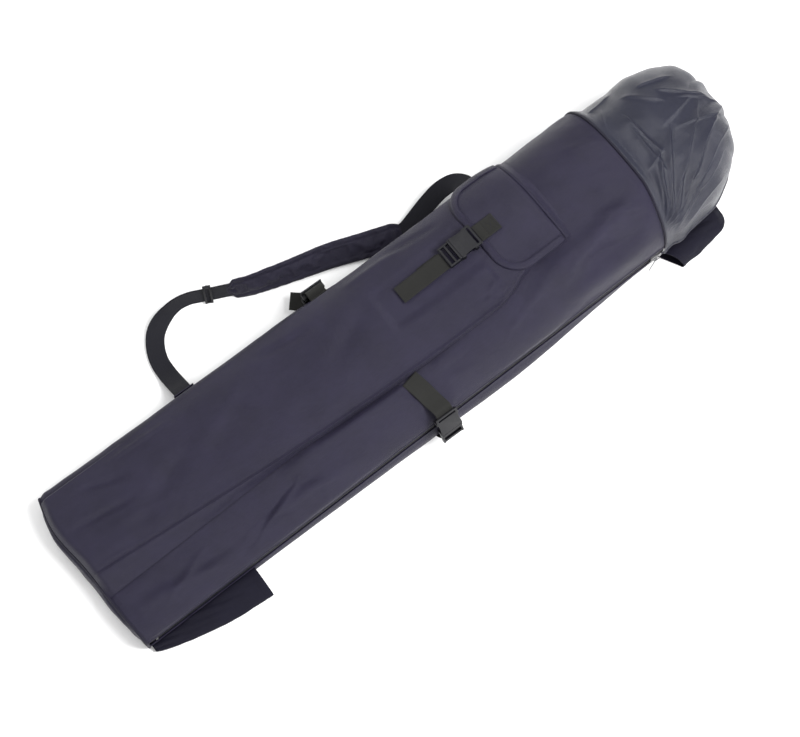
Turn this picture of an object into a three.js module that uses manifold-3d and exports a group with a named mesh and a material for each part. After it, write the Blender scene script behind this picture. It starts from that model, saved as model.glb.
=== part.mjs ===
// Soft tubular carry bag lying on its back: zipped shell, hood, flapped pocket, side straps with
// side-release buckles, pole cup and cap, and a padded shoulder strap.
// Millimetres. +X runs from the base to the hood, -Y is the zip side, +Z is up from the floor.
import * as THREE from 'three';
import { mergeVertices } from 'three/addons/utils/BufferGeometryUtils.js';
import Module from 'manifold-3d';

// ---- driving dimensions ----------------------------------------------------------------------
const BASE = { x: -600, halfWidth: 142, height: 52, seam: 25, squareness: 6 };
const MOUTH = { x: 401, halfWidth: 131, height: 184, seam: 82, squareness: 2.6 };
const BELLY = 1.06; // above 1 the underside is flattened into a band that lies on the floor
const FABRIC = 2;
const GAP = 0.3;
const FOAM = { outside: 4, thickness: 4 };
const LINING = { outside: 8.3, thickness: 1.5 };
const ZIP = {
  start: -581, end: 386, coilWidth: 3.2, slot: 1.2, tapeWidth: 12.6, panelEdge: 11, sliderX: 371,
  pullOut: 3.4, pullAngle: 20,
};
const POCKET = {
  mouth: 206, nearAtBase: -18, nearSpread: 46, turnIn: 16, turnFrom: 110, foot: -55, footWidth: 4,
  farAtBase: 124, farAtMouth: 112, farFoot: 5, depth: 8,
};
const FLAP = {
  hinge: 252, edge: 148, near: -46, far: 118, corner: 28, thickness: 2.4, hingeLift: 5.4, rampLength: 40,
};
const WEBBING = { width: 30, thickness: 1.5 };
const BUCKLE = { width: 41, female: 38, male: 22, prong: 18, thickness: 10.5 };
// Where the middle of a side buckle's socket end hangs, how far it leans out from upright in degrees,
// and the x and y of the points the strap follows over the shell.
const SIDE_STRAP = { side: -1, top: [-46, -133, 98], lean: 25.5, start: [[-60, 70], [-54, 92], [-49, 112]] };
const FAR_STRAP = { side: 1, top: [-82, 142.5, 80], lean: 0, start: [[-82, 125.5], [-82, 131]] };
const CUP = { base: -594, mouth: -405, inner: 3, reach: 46, height: 22 };
const CAP = { mouth: 393, end: 527, slant: 30 };
const HOOD = { length: 210, squareness: 3, shift: 26, thickness: 1.6, hemAtMouth: 66, hemAtTip: 40 };
const PAD = { width: 44, thickness: 9 };
const GLIDE_X = -206;

const COLOURS = {
  fabric: 0x3f3d4b, hood: 0x4a4b57, lining: 0x23242b, foam: 0x8c8f94, webbing: 0x3b3c3d,
  plastic: 0x2c2c35, metal: 0x3a3b40, coil: 0x26272e,
};

const wasm = await Module();
wasm.setup();
const bag = new THREE.Group();

// ---- small helpers ---------------------------------------------------------------------------
const lerp = (a, b, t) => a + (b - a) * t;
const vec = (x, y, z) => new THREE.Vector3(x, y, z);
const signedPower = (v, p) => Math.sign(v) * Math.abs(v) ** p;
const along = (x) => (x - BASE.x) / (MOUTH.x - BASE.x);
const sideAt = (x) => lerp(BASE.halfWidth, MOUTH.halfWidth, along(x));
const seamAt = (x) => lerp(BASE.seam, MOUTH.seam, along(x));
const steps = (from, to, count) => Array.from({ length: count + 1 }, (_, i) => lerp(from, to, i / count));

function add(name, geometry, colour, roughness = 0.85, metalness = 0) {
  const material = new THREE.MeshStandardMaterial({ color: COLOURS[colour], roughness, metalness });
  const mesh = new THREE.Mesh(geometry, material);
  mesh.name = name;
  bag.add(mesh);
  return mesh;
}

function fromTriangles(points, triangles) {
  let volume = 0;
  for (const [a, b, c] of triangles) volume += points[a].dot(points[b].clone().cross(points[c]));
  const facing = volume < 0 ? triangles.map(([a, b, c]) => [a, c, b]) : triangles;
  const geometry = new THREE.BufferGeometry();
  geometry.setAttribute('position', new THREE.Float32BufferAttribute(points.flatMap((p) => p.toArray()), 3));
  geometry.setIndex(facing.flat());
  return geometry;
}

// A sheet with an outer and an inner face over the same grid of points. Its rim is closed; a ring
// joins its last column to its first, and a closed end folds the last row onto itself.
function sheet(outer, inner, { ring = false, closedEnd = false } = {}) {
  const rows = outer.length;
  const cols = outer[0].length;
  const points = [...outer.flat(), ...inner.flat()];
  const out = (j, i) => j * cols + (i % cols);
  const inn = (j, i) => rows * cols + out(j, i);
  const triangles = [];
  const quad = (a, b, c, d) => triangles.push([a, b, c], [a, c, d]);
  const spans = ring ? cols : cols - 1;
  for (let j = 0; j < rows - 1; j += 1) {
    for (let i = 0; i < spans; i += 1) {
      quad(out(j, i), out(j, i + 1), out(j + 1, i + 1), out(j + 1, i));
      quad(inn(j, i), inn(j + 1, i), inn(j + 1, i + 1), inn(j, i + 1));
    }
    if (!ring) {
      quad(out(j, 0), out(j + 1, 0), inn(j + 1, 0), inn(j, 0));
      quad(out(j + 1, cols - 1), out(j, cols - 1), inn(j, cols - 1), inn(j + 1, cols - 1));
    }
  }
  const last = rows - 1;
  for (let i = 0; i < spans; i += 1) {
    quad(out(0, i + 1), out(0, i), inn(0, i), inn(0, i + 1));
    if (!closedEnd) quad(out(last, i), out(last, i + 1), inn(last, i + 1), inn(last, i));
  }
  if (closedEnd) foldEnd(last, cols, out, inn, quad, triangles, ring);
  return fromTriangles(points, triangles);
}

function foldEnd(last, cols, out, inn, quad, triangles, ring) {
  const half = Math.floor(cols / 2);
  for (let i = 0; i < half - 1; i += 1) {
    const far = cols - 1 - i;
    quad(out(last, i), out(last, i + 1), out(last, far - 1), out(last, far));
    quad(inn(last, i), inn(last, far), inn(last, far - 1), inn(last, i + 1));
  }
  if (cols % 2) {
    triangles.push([out(last, half - 1), out(last, half), out(last, half + 1)]);
    triangles.push([inn(last, half - 1), inn(last, half + 1), inn(last, half)]);
  }
  if (!ring) quad(out(last, 0), out(last, cols - 1), inn(last, cols - 1), inn(last, 0));
}

// A bar of constant cross-section swept through frames of {centre, across, normal}.
function sweep(frames, section) {
  const rings = frames.map(({ centre, across, normal }) => section.map(([u, v]) => (
    centre.clone().addScaledVector(across, u).addScaledVector(normal, v))));
  const points = rings.flat();
  const count = section.length;
  const triangles = [];
  rings.slice(1).forEach((_, j) => section.forEach((__, i) => {
    const [a, b] = [j * count + i, j * count + ((i + 1) % count)];
    triangles.push([a, b, b + count], [a, b + count, a + count]);
  }));
  const end = (rings.length - 1) * count;
  for (let i = 1; i < count - 1; i += 1) triangles.push([0, i + 1, i], [end, end + i, end + i + 1]);
  return fromTriangles(points, triangles);
}

const rectangle = (u0, u1, v0, v1) => [[u0, v0], [u1, v0], [u1, v1], [u0, v1]];

function box(x0, x1, y0, y1, z0, z1) {
  const geometry = new THREE.BoxGeometry(x1 - x0, y1 - y0, z1 - z0);
  return geometry.translate((x0 + x1) / 2, (y0 + y1) / 2, (z0 + z1) / 2);
}

function solid(geometry) {
  const bare = geometry.clone();
  bare.deleteAttribute('normal');
  bare.deleteAttribute('uv');
  const merged = mergeVertices(bare, 1e-4);
  const vertProperties = new Float32Array(merged.attributes.position.array);
  const triVerts = new Uint32Array(merged.index.array);
  return new wasm.Manifold(new wasm.Mesh({ numProp: 3, vertProperties, triVerts }));
}

function toGeometry(manifold) {
  const { vertProperties, triVerts } = manifold.getMesh();
  const geometry = new THREE.BufferGeometry();
  geometry.setAttribute('position', new THREE.Float32BufferAttribute(vertProperties, 3));
  geometry.setIndex([...triVerts]);
  return geometry;
}

const join = (...parts) => toGeometry(parts.map(solid).reduce((a, b) => a.add(b)));

// ---- the shell's cross-section ---------------------------------------------------------------
// Angle 0 is the zip edge, a quarter turn is the top, a half turn is the far seam.
function sectionPoint(section, angle) {
  const power = 2 / section.squareness;
  const y = -section.halfWidth * signedPower(Math.cos(angle), power);
  const rise = Math.abs(Math.sin(angle)) ** power;
  if (Math.sin(angle) >= 0) return [y, section.seam + (section.height - section.seam) * rise];
  return [y, Math.max(0, section.seam * (1 - BELLY * rise))];
}

const angleAbove = (s, rise) => Math.asin((rise / (s.height - s.seam)) ** (s.squareness / 2));
const angleBelow = (s, drop) => Math.asin((drop / (BELLY * s.seam)) ** (s.squareness / 2));

function evenOutline(section, from, to, count) {
  const dense = steps(from, to, 1200).map((angle) => sectionPoint(section, angle));
  const lengths = [0];
  for (let i = 1; i < dense.length; i += 1) {
    lengths.push(lengths[i - 1] + Math.hypot(dense[i][0] - dense[i - 1][0], dense[i][1] - dense[i - 1][1]));
  }
  const total = lengths[lengths.length - 1];
  return steps(0, total, count).map((want) => {
    const i = Math.max(1, lengths.findIndex((length) => length >= want - 1e-6));
    const t = (want - lengths[i - 1]) / (lengths[i] - lengths[i - 1]);
    return [lerp(dense[i - 1][0], dense[i][0], t), lerp(dense[i - 1][1], dense[i][1], t)];
  });
}

function offsetOutline(outline, distance) {
  const normals = outline.slice(1).map(([y, z], i) => {
    const [dy, dz] = [y - outline[i][0], z - outline[i][1]];
    return [-dz / Math.hypot(dy, dz), dy / Math.hypot(dy, dz)];
  });
  return outline.map(([y, z], i) => {
    const a = normals[Math.max(0, i - 1)];
    const b = normals[Math.min(normals.length - 1, i)];
    const scale = distance / (1 + a[0] * b[0] + a[1] * b[1]);
    return [y + (a[0] + b[0]) * scale, z + (a[1] + b[1]) * scale];
  });
}

// A length of the shell given by its outlines at the base and the mouth, straight between them.
class Skin {
  constructor(outlines) {
    this.outlines = outlines;
    this.columns = outlines[0].length - 1;
  }

  point(x, column, offset) {
    const t = along(x);
    const i = Math.min(this.columns - 1, Math.max(0, Math.floor(column)));
    const [base, mouth] = this.outlines.map((outline) => {
      const raised = offsetOutline(outline, offset);
      const part = column - i;
      return [lerp(raised[i][0], raised[i + 1][0], part), lerp(raised[i][1], raised[i + 1][1], part)];
    });
    return vec(x, lerp(base[0], mouth[0], t), lerp(base[1], mouth[1], t));
  }

  columnAt(x, y) {
    let [low, high] = [0, this.columns];
    for (let i = 0; i < 30; i += 1) {
      const middle = (low + high) / 2;
      if (this.point(x, middle, 0).y < y) low = middle;
      else high = middle;
    }
    return low;
  }

  over(x, y, offset) {
    return this.point(x, this.columnAt(x, y), offset);
  }

  sheet(xs, outside, thickness, from = 0, to = this.columns) {
    const columns = steps(from, to, to - from);
    const face = (offset) => xs.map((x) => columns.map((column) => this.point(x, column, offset)));
    return sheet(face(-outside), face(-outside - thickness));
  }
}

const upperRange = (s) => [angleAbove(s, ZIP.panelEdge), Math.PI - angleAbove(s, 3)];
const lowerRange = (s) => [Math.PI + angleBelow(s, 3), 2 * Math.PI - angleBelow(s, ZIP.panelEdge)];
const FRONT = new Skin([BASE, MOUTH].map((s) => evenOutline(s, ...upperRange(s), 34)));
const BACK = new Skin([BASE, MOUTH].map((s) => evenOutline(s, ...lowerRange(s), 30)));
// The foam and the lining run right round the inside, clear of the zip, on every second column.
const INSIDE = new Skin([0, 1].map((end) => (
  [...FRONT.outlines[end].slice(1), ...BACK.outlines[end].slice(0, -1)].filter((_, i) => i % 2 === 0))));

function surfaceFrame(x, y, offset) {
  const centre = FRONT.over(x, y, offset);
  const alongX = FRONT.over(x + 5, y, offset).sub(centre).normalize();
  const sideways = FRONT.over(x, y + 3, offset).sub(FRONT.over(x, y - 3, offset)).normalize();
  const normal = alongX.clone().cross(sideways).normalize();
  return { centre, along: alongX, across: normal.clone().cross(alongX), normal };
}

// ---- shell -----------------------------------------------------------------------------------
function addShell() {
  const panelXs = steps(BASE.x + 2.7, MOUTH.x - 3, 6);
  add('front_panel', FRONT.sheet(panelXs, 0, FABRIC), 'fabric');
  add('back_panel', BACK.sheet(steps(BASE.x + 2.7, MOUTH.x + GAP, 6), 0, FABRIC), 'fabric');
  const insideXs = steps(BASE.x + 6, MOUTH.x - 5, 4);
  add('foam_liner', INSIDE.sheet(insideXs, FOAM.outside, FOAM.thickness), 'foam');
  add('inner_lining', INSIDE.sheet(insideXs, LINING.outside, LINING.thickness), 'lining');
  add('mouth_binding', FRONT.sheet([MOUTH.x - 2.7, MOUTH.x + GAP], -1.4, 3.4), 'fabric');
}

function baseOutline(inset) {
  const whole = evenOutline(BASE, 0, 2 * Math.PI, 56);
  return offsetOutline(whole, -inset).slice(0, -1);
}

function addBase() {
  const plate = (inset, x0, x1) => {
    const ring = baseOutline(inset);
    const shape = new THREE.Shape(ring.map(([y, z]) => new THREE.Vector2(y, z)));
    const geometry = new THREE.ExtrudeGeometry(shape, { depth: x1 - x0, bevelEnabled: false });
    const frame = new THREE.Matrix4().makeBasis(vec(0, 1, 0), vec(0, 0, 1), vec(1, 0, 0));
    return geometry.applyMatrix4(frame.setPosition(x0, 0, 0));
  };
  add('base_panel', plate(3.2, BASE.x, BASE.x + 2), 'fabric');
  add('base_stiffener', plate(FABRIC + 0.8, BASE.x + 2.8, BASE.x + 5.4), 'plastic');
  const rim = (x, inset) => baseOutline(inset).map(([y, z]) => vec(x, y, z));
  const ends = [BASE.x, BASE.x + 2.3];
  const piping = sheet(ends.map((x) => rim(x, 0)), ends.map((x) => rim(x, 2.8)), { ring: true });
  add('base_piping', piping, 'fabric');
}

function addFarSeam() {
  const frames = [BASE.x + 6, MOUTH.x - 3].map((x) => (
    { centre: vec(x, sideAt(x) - 1, seamAt(x)), across: vec(0, 1, 0), normal: vec(0, 0, 1) }));
  const bead = steps(0, 2 * Math.PI, 8).slice(0, -1).map((a) => [2.4 * Math.cos(a), 2.4 * Math.sin(a)]);
  add('side_seam_piping', sweep(frames, bead), 'fabric');
}

// The end of the back panel, a shallow scoop that lies inside the hood.
function addScoop() {
  const depth = 172;
  const ring = (t, inset) => {
    const halfWidth = 125 * (1 - t ** 3) ** 0.4 - inset;
    const [rim, bottom] = [lerp(72, 48, t), 14 * t ** 4];
    return steps(Math.PI, 2 * Math.PI, 24).map((angle) => {
      const fall = Math.min(1, BELLY * Math.abs(Math.sin(angle)) ** 0.8) * (rim - bottom - inset);
      const y = 16 * t ** 2 - halfWidth * signedPower(Math.cos(angle), 0.8);
      return vec(MOUTH.x + 0.6 + (depth - inset) * t, y, rim - fall);
    });
  };
  const ts = [0, 0.2, 0.4, 0.6, 0.75, 0.86, 0.93, 0.97];
  const geometry = sheet(ts.map((t) => ring(t, 0)), ts.map((t) => ring(t, FABRIC)), { closedEnd: true });
  add('mouth_scoop', geometry, 'fabric');
}

// ---- zip -------------------------------------------------------------------------------------
// The zip line is straight. In its frame x runs along it, y up across the tape and z out of the bag.
const zipPoint = (x) => vec(x, -sideAt(x), seamAt(x));
const zipAlong = zipPoint(MOUTH.x).sub(zipPoint(BASE.x)).normalize();
const zipOut = zipAlong.clone().cross(vec(0, 0, 1)).normalize();
const zipUp = zipOut.clone().cross(zipAlong);

function zipMatrix(x) {
  return new THREE.Matrix4().makeBasis(zipAlong, zipUp, zipOut).setPosition(zipPoint(x));
}

function zipBar(x0, x1, out0, out1, up0, up1) {
  const length = zipPoint(x1).distanceTo(zipPoint(x0));
  return box(0, length, up0, up1, out0, out1).applyMatrix4(zipMatrix(x0));
}

function addZip() {
  const rows = [['upper', 1], ['lower', -1]];
  for (const [side, sign] of rows) {
    const span = (a, b) => (sign > 0 ? [a, b] : [-b, -a]);
    const inner = ZIP.slot / 2;
    const tape = zipBar(BASE.x + 7, MOUTH.x - 5, -4, -3.3, ...span(inner, ZIP.tapeWidth));
    add(`zip_tape_${side}`, tape, 'fabric');
    const coil = zipBar(ZIP.start, ZIP.end, -3, -0.4, ...span(inner, inner + ZIP.coilWidth));
    add(`zip_coil_${side}`, coil, 'coil', 0.5);
  }
  add('zip_stop_top', zipBar(ZIP.end + GAP, ZIP.end + 4, -3, 0.2, -4, 4), 'metal', 0.4, 0.8);
  add('zip_stop_bottom', zipBar(ZIP.start - 4, ZIP.start - GAP, -3, 0.2, -4, 4), 'metal', 0.4, 0.8);
}

function addSlider() {
  const flange = (sign) => box(-9, 9, ...(sign > 0 ? [4.3, 6.2] : [-6.2, -4.3]), -2.6, 0.5);
  const slider = join(
    box(-10, 10, -6.2, 6.2, 0, 2.2), box(-9, 9, -6.2, 6.2, -6.4, -4.5), box(-3, 3, -0.3, 0.3, -5, 0.5),
    flange(1), flange(-1), box(-5.5, -4, -1.4, 1.4, 2, 5.6), box(4, 5.5, -1.4, 1.4, 2, 5.6),
    box(-5.5, 5.5, -1.4, 1.4, 4.6, 5.8),
  );
  add('zip_slider', slider.applyMatrix4(zipMatrix(ZIP.sliderX)), 'metal', 0.4, 0.8);
  // The pull's cross bar sits under the slider's bridge; the pull points back and out at rest.
  const pull = join(
    box(-0.6, 0.6, -3.6, 3.6, -0.6, 0.6), box(-7.5, 0.6, 2.2, 3.6, -0.6, 0.6),
    box(-7.5, 0.6, -3.6, -2.2, -0.6, 0.6), box(-22, -7, -3.6, 3.6, -0.6, 0.6),
  );
  const hinge = zipMatrix(ZIP.sliderX).multiply(new THREE.Matrix4().makeTranslation(0, 0, ZIP.pullOut));
  hinge.multiply(new THREE.Matrix4().makeRotationY(THREE.MathUtils.degToRad(ZIP.pullAngle)));
  add('zip_pull', pull.applyMatrix4(hinge), 'metal', 0.4, 0.8);
}

// ---- pocket ----------------------------------------------------------------------------------
const share = (x, from, to) => Math.min(1, Math.max(0, (x - from) / (to - from)));
const nearRidge = (x) => {
  const spread = Math.sin((Math.PI / 2) * share(x, BASE.x, 80));
  const back = Math.sin((Math.PI / 2) * share(x, POCKET.turnFrom, POCKET.mouth)) ** 2;
  return POCKET.nearAtBase - POCKET.nearSpread * spread + POCKET.turnIn * back;
};
const nearFoot = (x) => Math.min(POCKET.foot, nearRidge(x) - POCKET.footWidth);
const farRidge = (x) => lerp(POCKET.farAtBase, POCKET.farAtMouth, along(x));
const farFoot = (x) => farRidge(x) + POCKET.farFoot;
const pocketTop = 1 + POCKET.depth + 1.6;

function addPocket() {
  const xs = steps(BASE.x + 1, POCKET.mouth, 12);
  const ys = (x) => steps(nearRidge(x), farRidge(x), 18);
  const face = (offset) => xs.map((x) => ys(x).map((y) => FRONT.over(x, y, offset)));
  add('pocket_panel', sheet(face(pocketTop), face(pocketTop - 1.6)), 'fabric');
  addGusset(xs);
}

// One folded strip round the near side, the base end and the far side of the pocket.
function addGusset(xs) {
  const [foot, ridge, thick] = [0.9, pocketTop - 1.6 - GAP, 1.2];
  const station = (x, yFoot, yRidge, inward) => [
    FRONT.over(x, yFoot, foot), FRONT.over(x, yRidge, ridge),
    FRONT.over(x + inward[0], yRidge + inward[1], ridge), FRONT.over(x + inward[0], yFoot + inward[1], foot),
  ];
  const near = [...xs].reverse().slice(0, -1).map((x) => (
    station(x, nearFoot(x), nearRidge(x) + 0.2, [0, thick])));
  const far = xs.slice(1).map((x) => station(x, farFoot(x), farRidge(x) - 0.2, [0, -thick]));
  const baseX = xs[0];
  const corner = (yFoot, yRidge, side) => station(baseX, yFoot, yRidge, [thick, side * thick]);
  const base = steps(0, 1, 6).slice(1, -1).map((t) => {
    const yFoot = lerp(nearFoot(baseX), farFoot(baseX), t);
    return station(baseX, yFoot, lerp(nearRidge(baseX), farRidge(baseX), t), [thick, 0]);
  });
  const rings = [
    ...near, corner(nearFoot(baseX), nearRidge(baseX) + 0.2, 1), ...base,
    corner(farFoot(baseX), farRidge(baseX) - 0.2, -1), ...far,
  ];
  add('pocket_gusset', sheet(rings.map((r) => [r[0], r[1]]), rings.map((r) => [r[3], r[2]])), 'fabric');
}

// The flap's underside clears the pocket and runs down to its hinge.
const flapBottom = pocketTop + 0.8;
const flapLift = (x) => {
  const ramp = Math.sin((Math.PI / 2) * share(x, FLAP.hinge, FLAP.hinge - FLAP.rampLength));
  return lerp(FLAP.hingeLift, flapBottom, ramp);
};
const flapEdge = (y) => {
  const inFromSide = Math.min(y - FLAP.near, FLAP.far - y);
  const d = Math.max(0, FLAP.corner - inFromSide);
  return FLAP.edge + FLAP.corner - Math.sqrt(Math.max(0, FLAP.corner ** 2 - d ** 2));
};

function addFlap() {
  const ys = [
    ...steps(FLAP.near, FLAP.near + 24, 4), ...steps(-14, 88, 12).slice(1),
    ...steps(88, FLAP.far, 6).slice(1),
  ];
  const overAt = (x, y, offset) => FRONT.over(x, y, flapLift(x) + offset);
  const row = (t, offset) => ys.map((y) => overAt(lerp(FLAP.hinge, flapEdge(y), t), y, offset));
  const face = (offset) => [0, 0.1, 0.2, 0.36, 0.7, 1].map((t) => row(t, offset));
  add('pocket_flap', sheet(face(FLAP.thickness), face(0)), 'fabric');
  const seamRow = (x, offset) => ys.map((y) => FRONT.over(x, y, offset));
  const seamFace = (offset) => [
    seamRow(FLAP.hinge + 0.5, offset + FLAP.hingeLift), seamRow(FLAP.hinge + 18, offset + 1),
  ];
  add('flap_seam', sheet(seamFace(FLAP.thickness), seamFace(0)), 'fabric');
  addFlapBinding();
}

// A folded tape round the flap's free edge. Each entry is a point of the rim and its outward direction.
function flapRim() {
  const { near, far, edge, corner } = FLAP;
  const sideXs = steps(FLAP.hinge - 2, edge + corner, 6).slice(0, -1);
  const turn = (a, y, side) => {
    const [reach, inward] = [corner * (1 - Math.sin(a)), corner * (1 - Math.cos(a))];
    return [edge + reach, y - side * inward, -Math.sin(a), side * Math.cos(a)];
  };
  return [
    ...sideXs.map((x) => [x, near, 0, -1]),
    ...steps(0, Math.PI / 2, 5).map((a) => turn(a, near, -1)),
    ...steps(near + corner, far - corner, 8).slice(1, -1).map((y) => [edge, y, -1, 0]),
    ...steps(Math.PI / 2, 0, 5).map((a) => turn(a, far, 1)),
    ...[...sideXs].reverse().map((x) => [x, far, 0, 1]),
  ];
}

function addFlapBinding() {
  const at = (reach, offset) => flapRim().map(([x, y, dx, dy]) => (
    FRONT.over(x + dx * reach, y + dy * reach, flapLift(x) + offset)));
  const [low, high] = [-0.4, FLAP.thickness + 0.5];
  const band = (reach) => at(reach, low).map((p, i) => [p, at(reach, high)[i]]);
  add('flap_binding', sheet(band(4.4), band(1)), 'fabric');
}

// ---- side-release buckles --------------------------------------------------------------------
// In a buckle's frame X points from the prong piece into the socket piece, and +Z faces outward.
// The socket's back is open, so the socket lifts straight off the prongs.
function socketGeometry() {
  const half = BUCKLE.width / 2;
  const [length, top] = [BUCKLE.female, BUCKLE.thickness];
  const waist = new THREE.Shape();
  waist.moveTo(0, -half + 1);
  waist.quadraticCurveTo(length * 0.45, -half + 5, length - 8, -half + 1.5);
  waist.lineTo(length, -half + 1.5);
  waist.lineTo(length, half - 1.5);
  waist.lineTo(length - 8, half - 1.5);
  waist.quadraticCurveTo(length * 0.45, half - 5, 0, half - 1);
  waist.closePath();
  const slot = new THREE.Path();
  slot.moveTo(length - 7.5, -15.6);
  slot.lineTo(length - 3.5, -15.6);
  slot.lineTo(length - 3.5, 15.6);
  slot.lineTo(length - 7.5, 15.6);
  slot.closePath();
  waist.holes.push(slot);
  const plate = new THREE.ExtrudeGeometry(waist, { depth: 2.4, bevelEnabled: false, curveSegments: 6 });
  plate.translate(0, 0, top - 2.4);
  const rails = [1, -1].flatMap((side) => [[0, 6], [24, 28]].map(([x0, x1]) => {
    const [y0, y1] = [side * 16.8, side * (half - 1)].sort((a, b) => a - b);
    return box(x0, x1, y0, y1, 0, top - 1);
  }));
  return join(plate, ...rails, box(26.5, 30, -half + 1, half - 1, 0, top - 1));
}

function prongGeometry() {
  const half = BUCKLE.width / 2 - 2;
  const level = [2.4, BUCKLE.thickness - 3.4];
  const frame = [
    box(-4, -0.4, -half, half, 1, BUCKLE.thickness), box(-12, -9, -half + 1, half - 1, 1, 6),
    box(-BUCKLE.male, -BUCKLE.male + 4, -half, half, 1, 6), box(-BUCKLE.male, -1, half - 3, half, 1, 7),
    box(-BUCKLE.male, -1, -half, -half + 3, 1, 7),
  ];
  const prongs = [
    box(-1, BUCKLE.prong, 11.5, 16.3, ...level), box(-1, BUCKLE.prong, -16.3, -11.5, ...level),
    box(-1, BUCKLE.prong - 5, -2.5, 2.5, ...level),
  ];
  return join(...frame, ...prongs);
}

function buckleMatrix(mouth, direction, outward) {
  const across = outward.clone().cross(direction).normalize();
  return new THREE.Matrix4().makeBasis(direction, across, outward).setPosition(mouth);
}

function addBuckle(name, matrix) {
  add(`${name}_buckle_female`, socketGeometry().applyMatrix4(matrix), 'plastic', 0.5);
  add(`${name}_buckle_male`, prongGeometry().applyMatrix4(matrix), 'plastic', 0.5);
}

function addFlapFastening() {
  const y = (FLAP.near + FLAP.far) / 2 + 2;
  const frame = surfaceFrame(112, y, pocketTop);
  const lift = FLAP.thickness + 1.2;
  const mouth = frame.centre.addScaledVector(frame.normal, lift);
  addBuckle('flap', buckleMatrix(mouth, frame.along, frame.normal));
  const across = [y - WEBBING.width / 2, y, y + WEBBING.width / 2];
  const strip = (xs, offset) => {
    const face = (o) => xs.map((x) => across.map((v) => FRONT.over(x, v, o)));
    return sheet(face(offset + WEBBING.thickness), face(offset));
  };
  add('flap_tab', strip([150.6, 168, 187], flapBottom + FLAP.thickness + 1), 'webbing');
  add('flap_strap_anchor', strip([48, 66, 85], pocketTop + 0.8), 'webbing');
  add('flap_strap_tail', strip([3, 30, 60, 88.6], pocketTop + 3.1), 'webbing');
}

// ---- side straps -----------------------------------------------------------------------------
// A strap across the bag: it starts on the shell's slope and ends level.
function bend(points, count, slope = 0) {
  const curve = new THREE.CatmullRomCurve3(points, false, 'centripetal');
  return steps(0, 1, count).map((t) => {
    const tangent = curve.getTangent(t);
    const across = vec(1, 0, slope * Math.max(0, 1 - 1.4 * t)).normalize();
    return { centre: curve.getPoint(t), across, normal: tangent.cross(across).normalize() };
  });
}

const [halfWebbing, halfThread] = [WEBBING.width / 2, WEBBING.thickness / 2];
const webbingSection = rectangle(-halfWebbing, halfWebbing, -halfThread, halfThread);
const strap = (points, count, slope) => sweep(bend(points, count, slope), webbingSection);

// side is -1 on the zip side and +1 on the far side. `at` gives a point level with the buckle's open
// back: how far down from the socket's upper end, and how far out from that back.
function sideBuckle({ side, top, lean }) {
  const angle = THREE.MathUtils.degToRad(lean);
  const up = vec(0, -side * Math.sin(angle), Math.cos(angle));
  const outward = vec(0, side * Math.cos(angle), Math.sin(angle));
  const at = (down, out) => vec(...top).addScaledVector(up, -down).addScaledVector(outward, out);
  return { up, outward, at };
}

function addSideStrap(name, strapSpec) {
  const { side, top, start } = strapSpec;
  const { up, outward, at } = sideBuckle(strapSpec);
  const mouth = BUCKLE.female;
  addBuckle(name, buckleMatrix(at(mouth, 0), up, outward));
  const over = [...start.map(([x, v]) => FRONT.over(x, side * v, 3.4)), at(-6, 1.5), at(-0.5, 5)];
  const slope = (MOUTH.height - BASE.height) / (MOUTH.x - BASE.x);
  add(`${name}_strap_upper`, strap(over, 14, slope), 'webbing');
  const bodySide = sideAt(top[0]);
  const tuck = [
    at(mouth + 3, -2.4), at(mouth + BUCKLE.male, -5), vec(top[0], side * (bodySide + 2), 9),
    vec(top[0], side * (bodySide - 9), 2.4),
  ];
  add(`${name}_strap_lower`, strap(tuck, 12), 'webbing');
}

// The far strap's loose end leaves the prong piece and pokes out level. Each entry is a point on its
// centre line and the direction its width runs in.
function addFarTail() {
  const route = [
    [vec(-83, 150.6, 21), vec(1, 0.05, 0)], [vec(-90, 154.5, 21), vec(1, 0.15, 0)],
    [vec(-101, 161.5, 21.2), vec(0.96, 0.28, 0)], [vec(-112, 171, 21.6), vec(0.93, 0.36, 0)],
  ];
  const frames = route.map(([centre, across], i) => {
    const next = route[Math.min(i + 1, route.length - 1)][0];
    const tangent = next.clone().sub(route[Math.max(0, i - 1)][0]).normalize();
    return { centre, across: across.normalize(), normal: tangent.cross(across).normalize() };
  });
  add('far_strap_tail', sweep(frames, webbingSection), 'webbing');
}

function addSideStraps() {
  addSideStrap('side', SIDE_STRAP);
  addSideStrap('far', FAR_STRAP);
  addFarTail();
}

// ---- pole cup and cap ------------------------------------------------------------------------
// Flat pouches on the floor beside the shell: the cup opens towards the hood, the cap towards the base.
function pouch(xs, outline, wall) {
  const ring = (x, inset) => {
    const points = outline(x).map(([y, z, dx = 0]) => vec(x + dx, y, z));
    const middle = points.reduce((sum, p) => sum.add(p), vec(0, 0, 0)).divideScalar(points.length);
    return points.map((p, i) => {
      const before = points[(i + points.length - 1) % points.length];
      const after = points[(i + 1) % points.length];
      const normal = after.clone().sub(before).cross(vec(1, 0, 0)).normalize();
      if (normal.dot(p.clone().sub(middle)) < 0) normal.negate();
      return p.clone().addScaledVector(normal, -inset);
    });
  };
  const outer = xs.map((x) => ring(x, 0));
  const inner = xs.map((x) => ring(x, wall));
  const end = xs[xs.length - 1] > xs[0] ? wall : -wall;
  inner[inner.length - 1].forEach((p) => { p.x -= end; });
  return sheet(outer, inner, { ring: true, closedEnd: true });
}

function cupOutline(x) {
  const t = (x - CUP.base) / (CUP.mouth - CUP.base);
  const inner = -sideAt(x) - CUP.inner;
  const reach = 8 + (CUP.reach - 8) * Math.sin((Math.PI / 2) * t) ** 0.8;
  const height = lerp(12, CUP.height, t);
  const shape = [
    [0, 0], [-reach * 0.4, 0], [-reach * 0.8, 0], [-reach, 3], [-reach, 7],
    [-reach * 0.75, height * 0.7], [-reach * 0.35, height], [0, height],
  ];
  return shape.map(([y, z]) => [inner + y, z + 0.2]);
}

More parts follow.
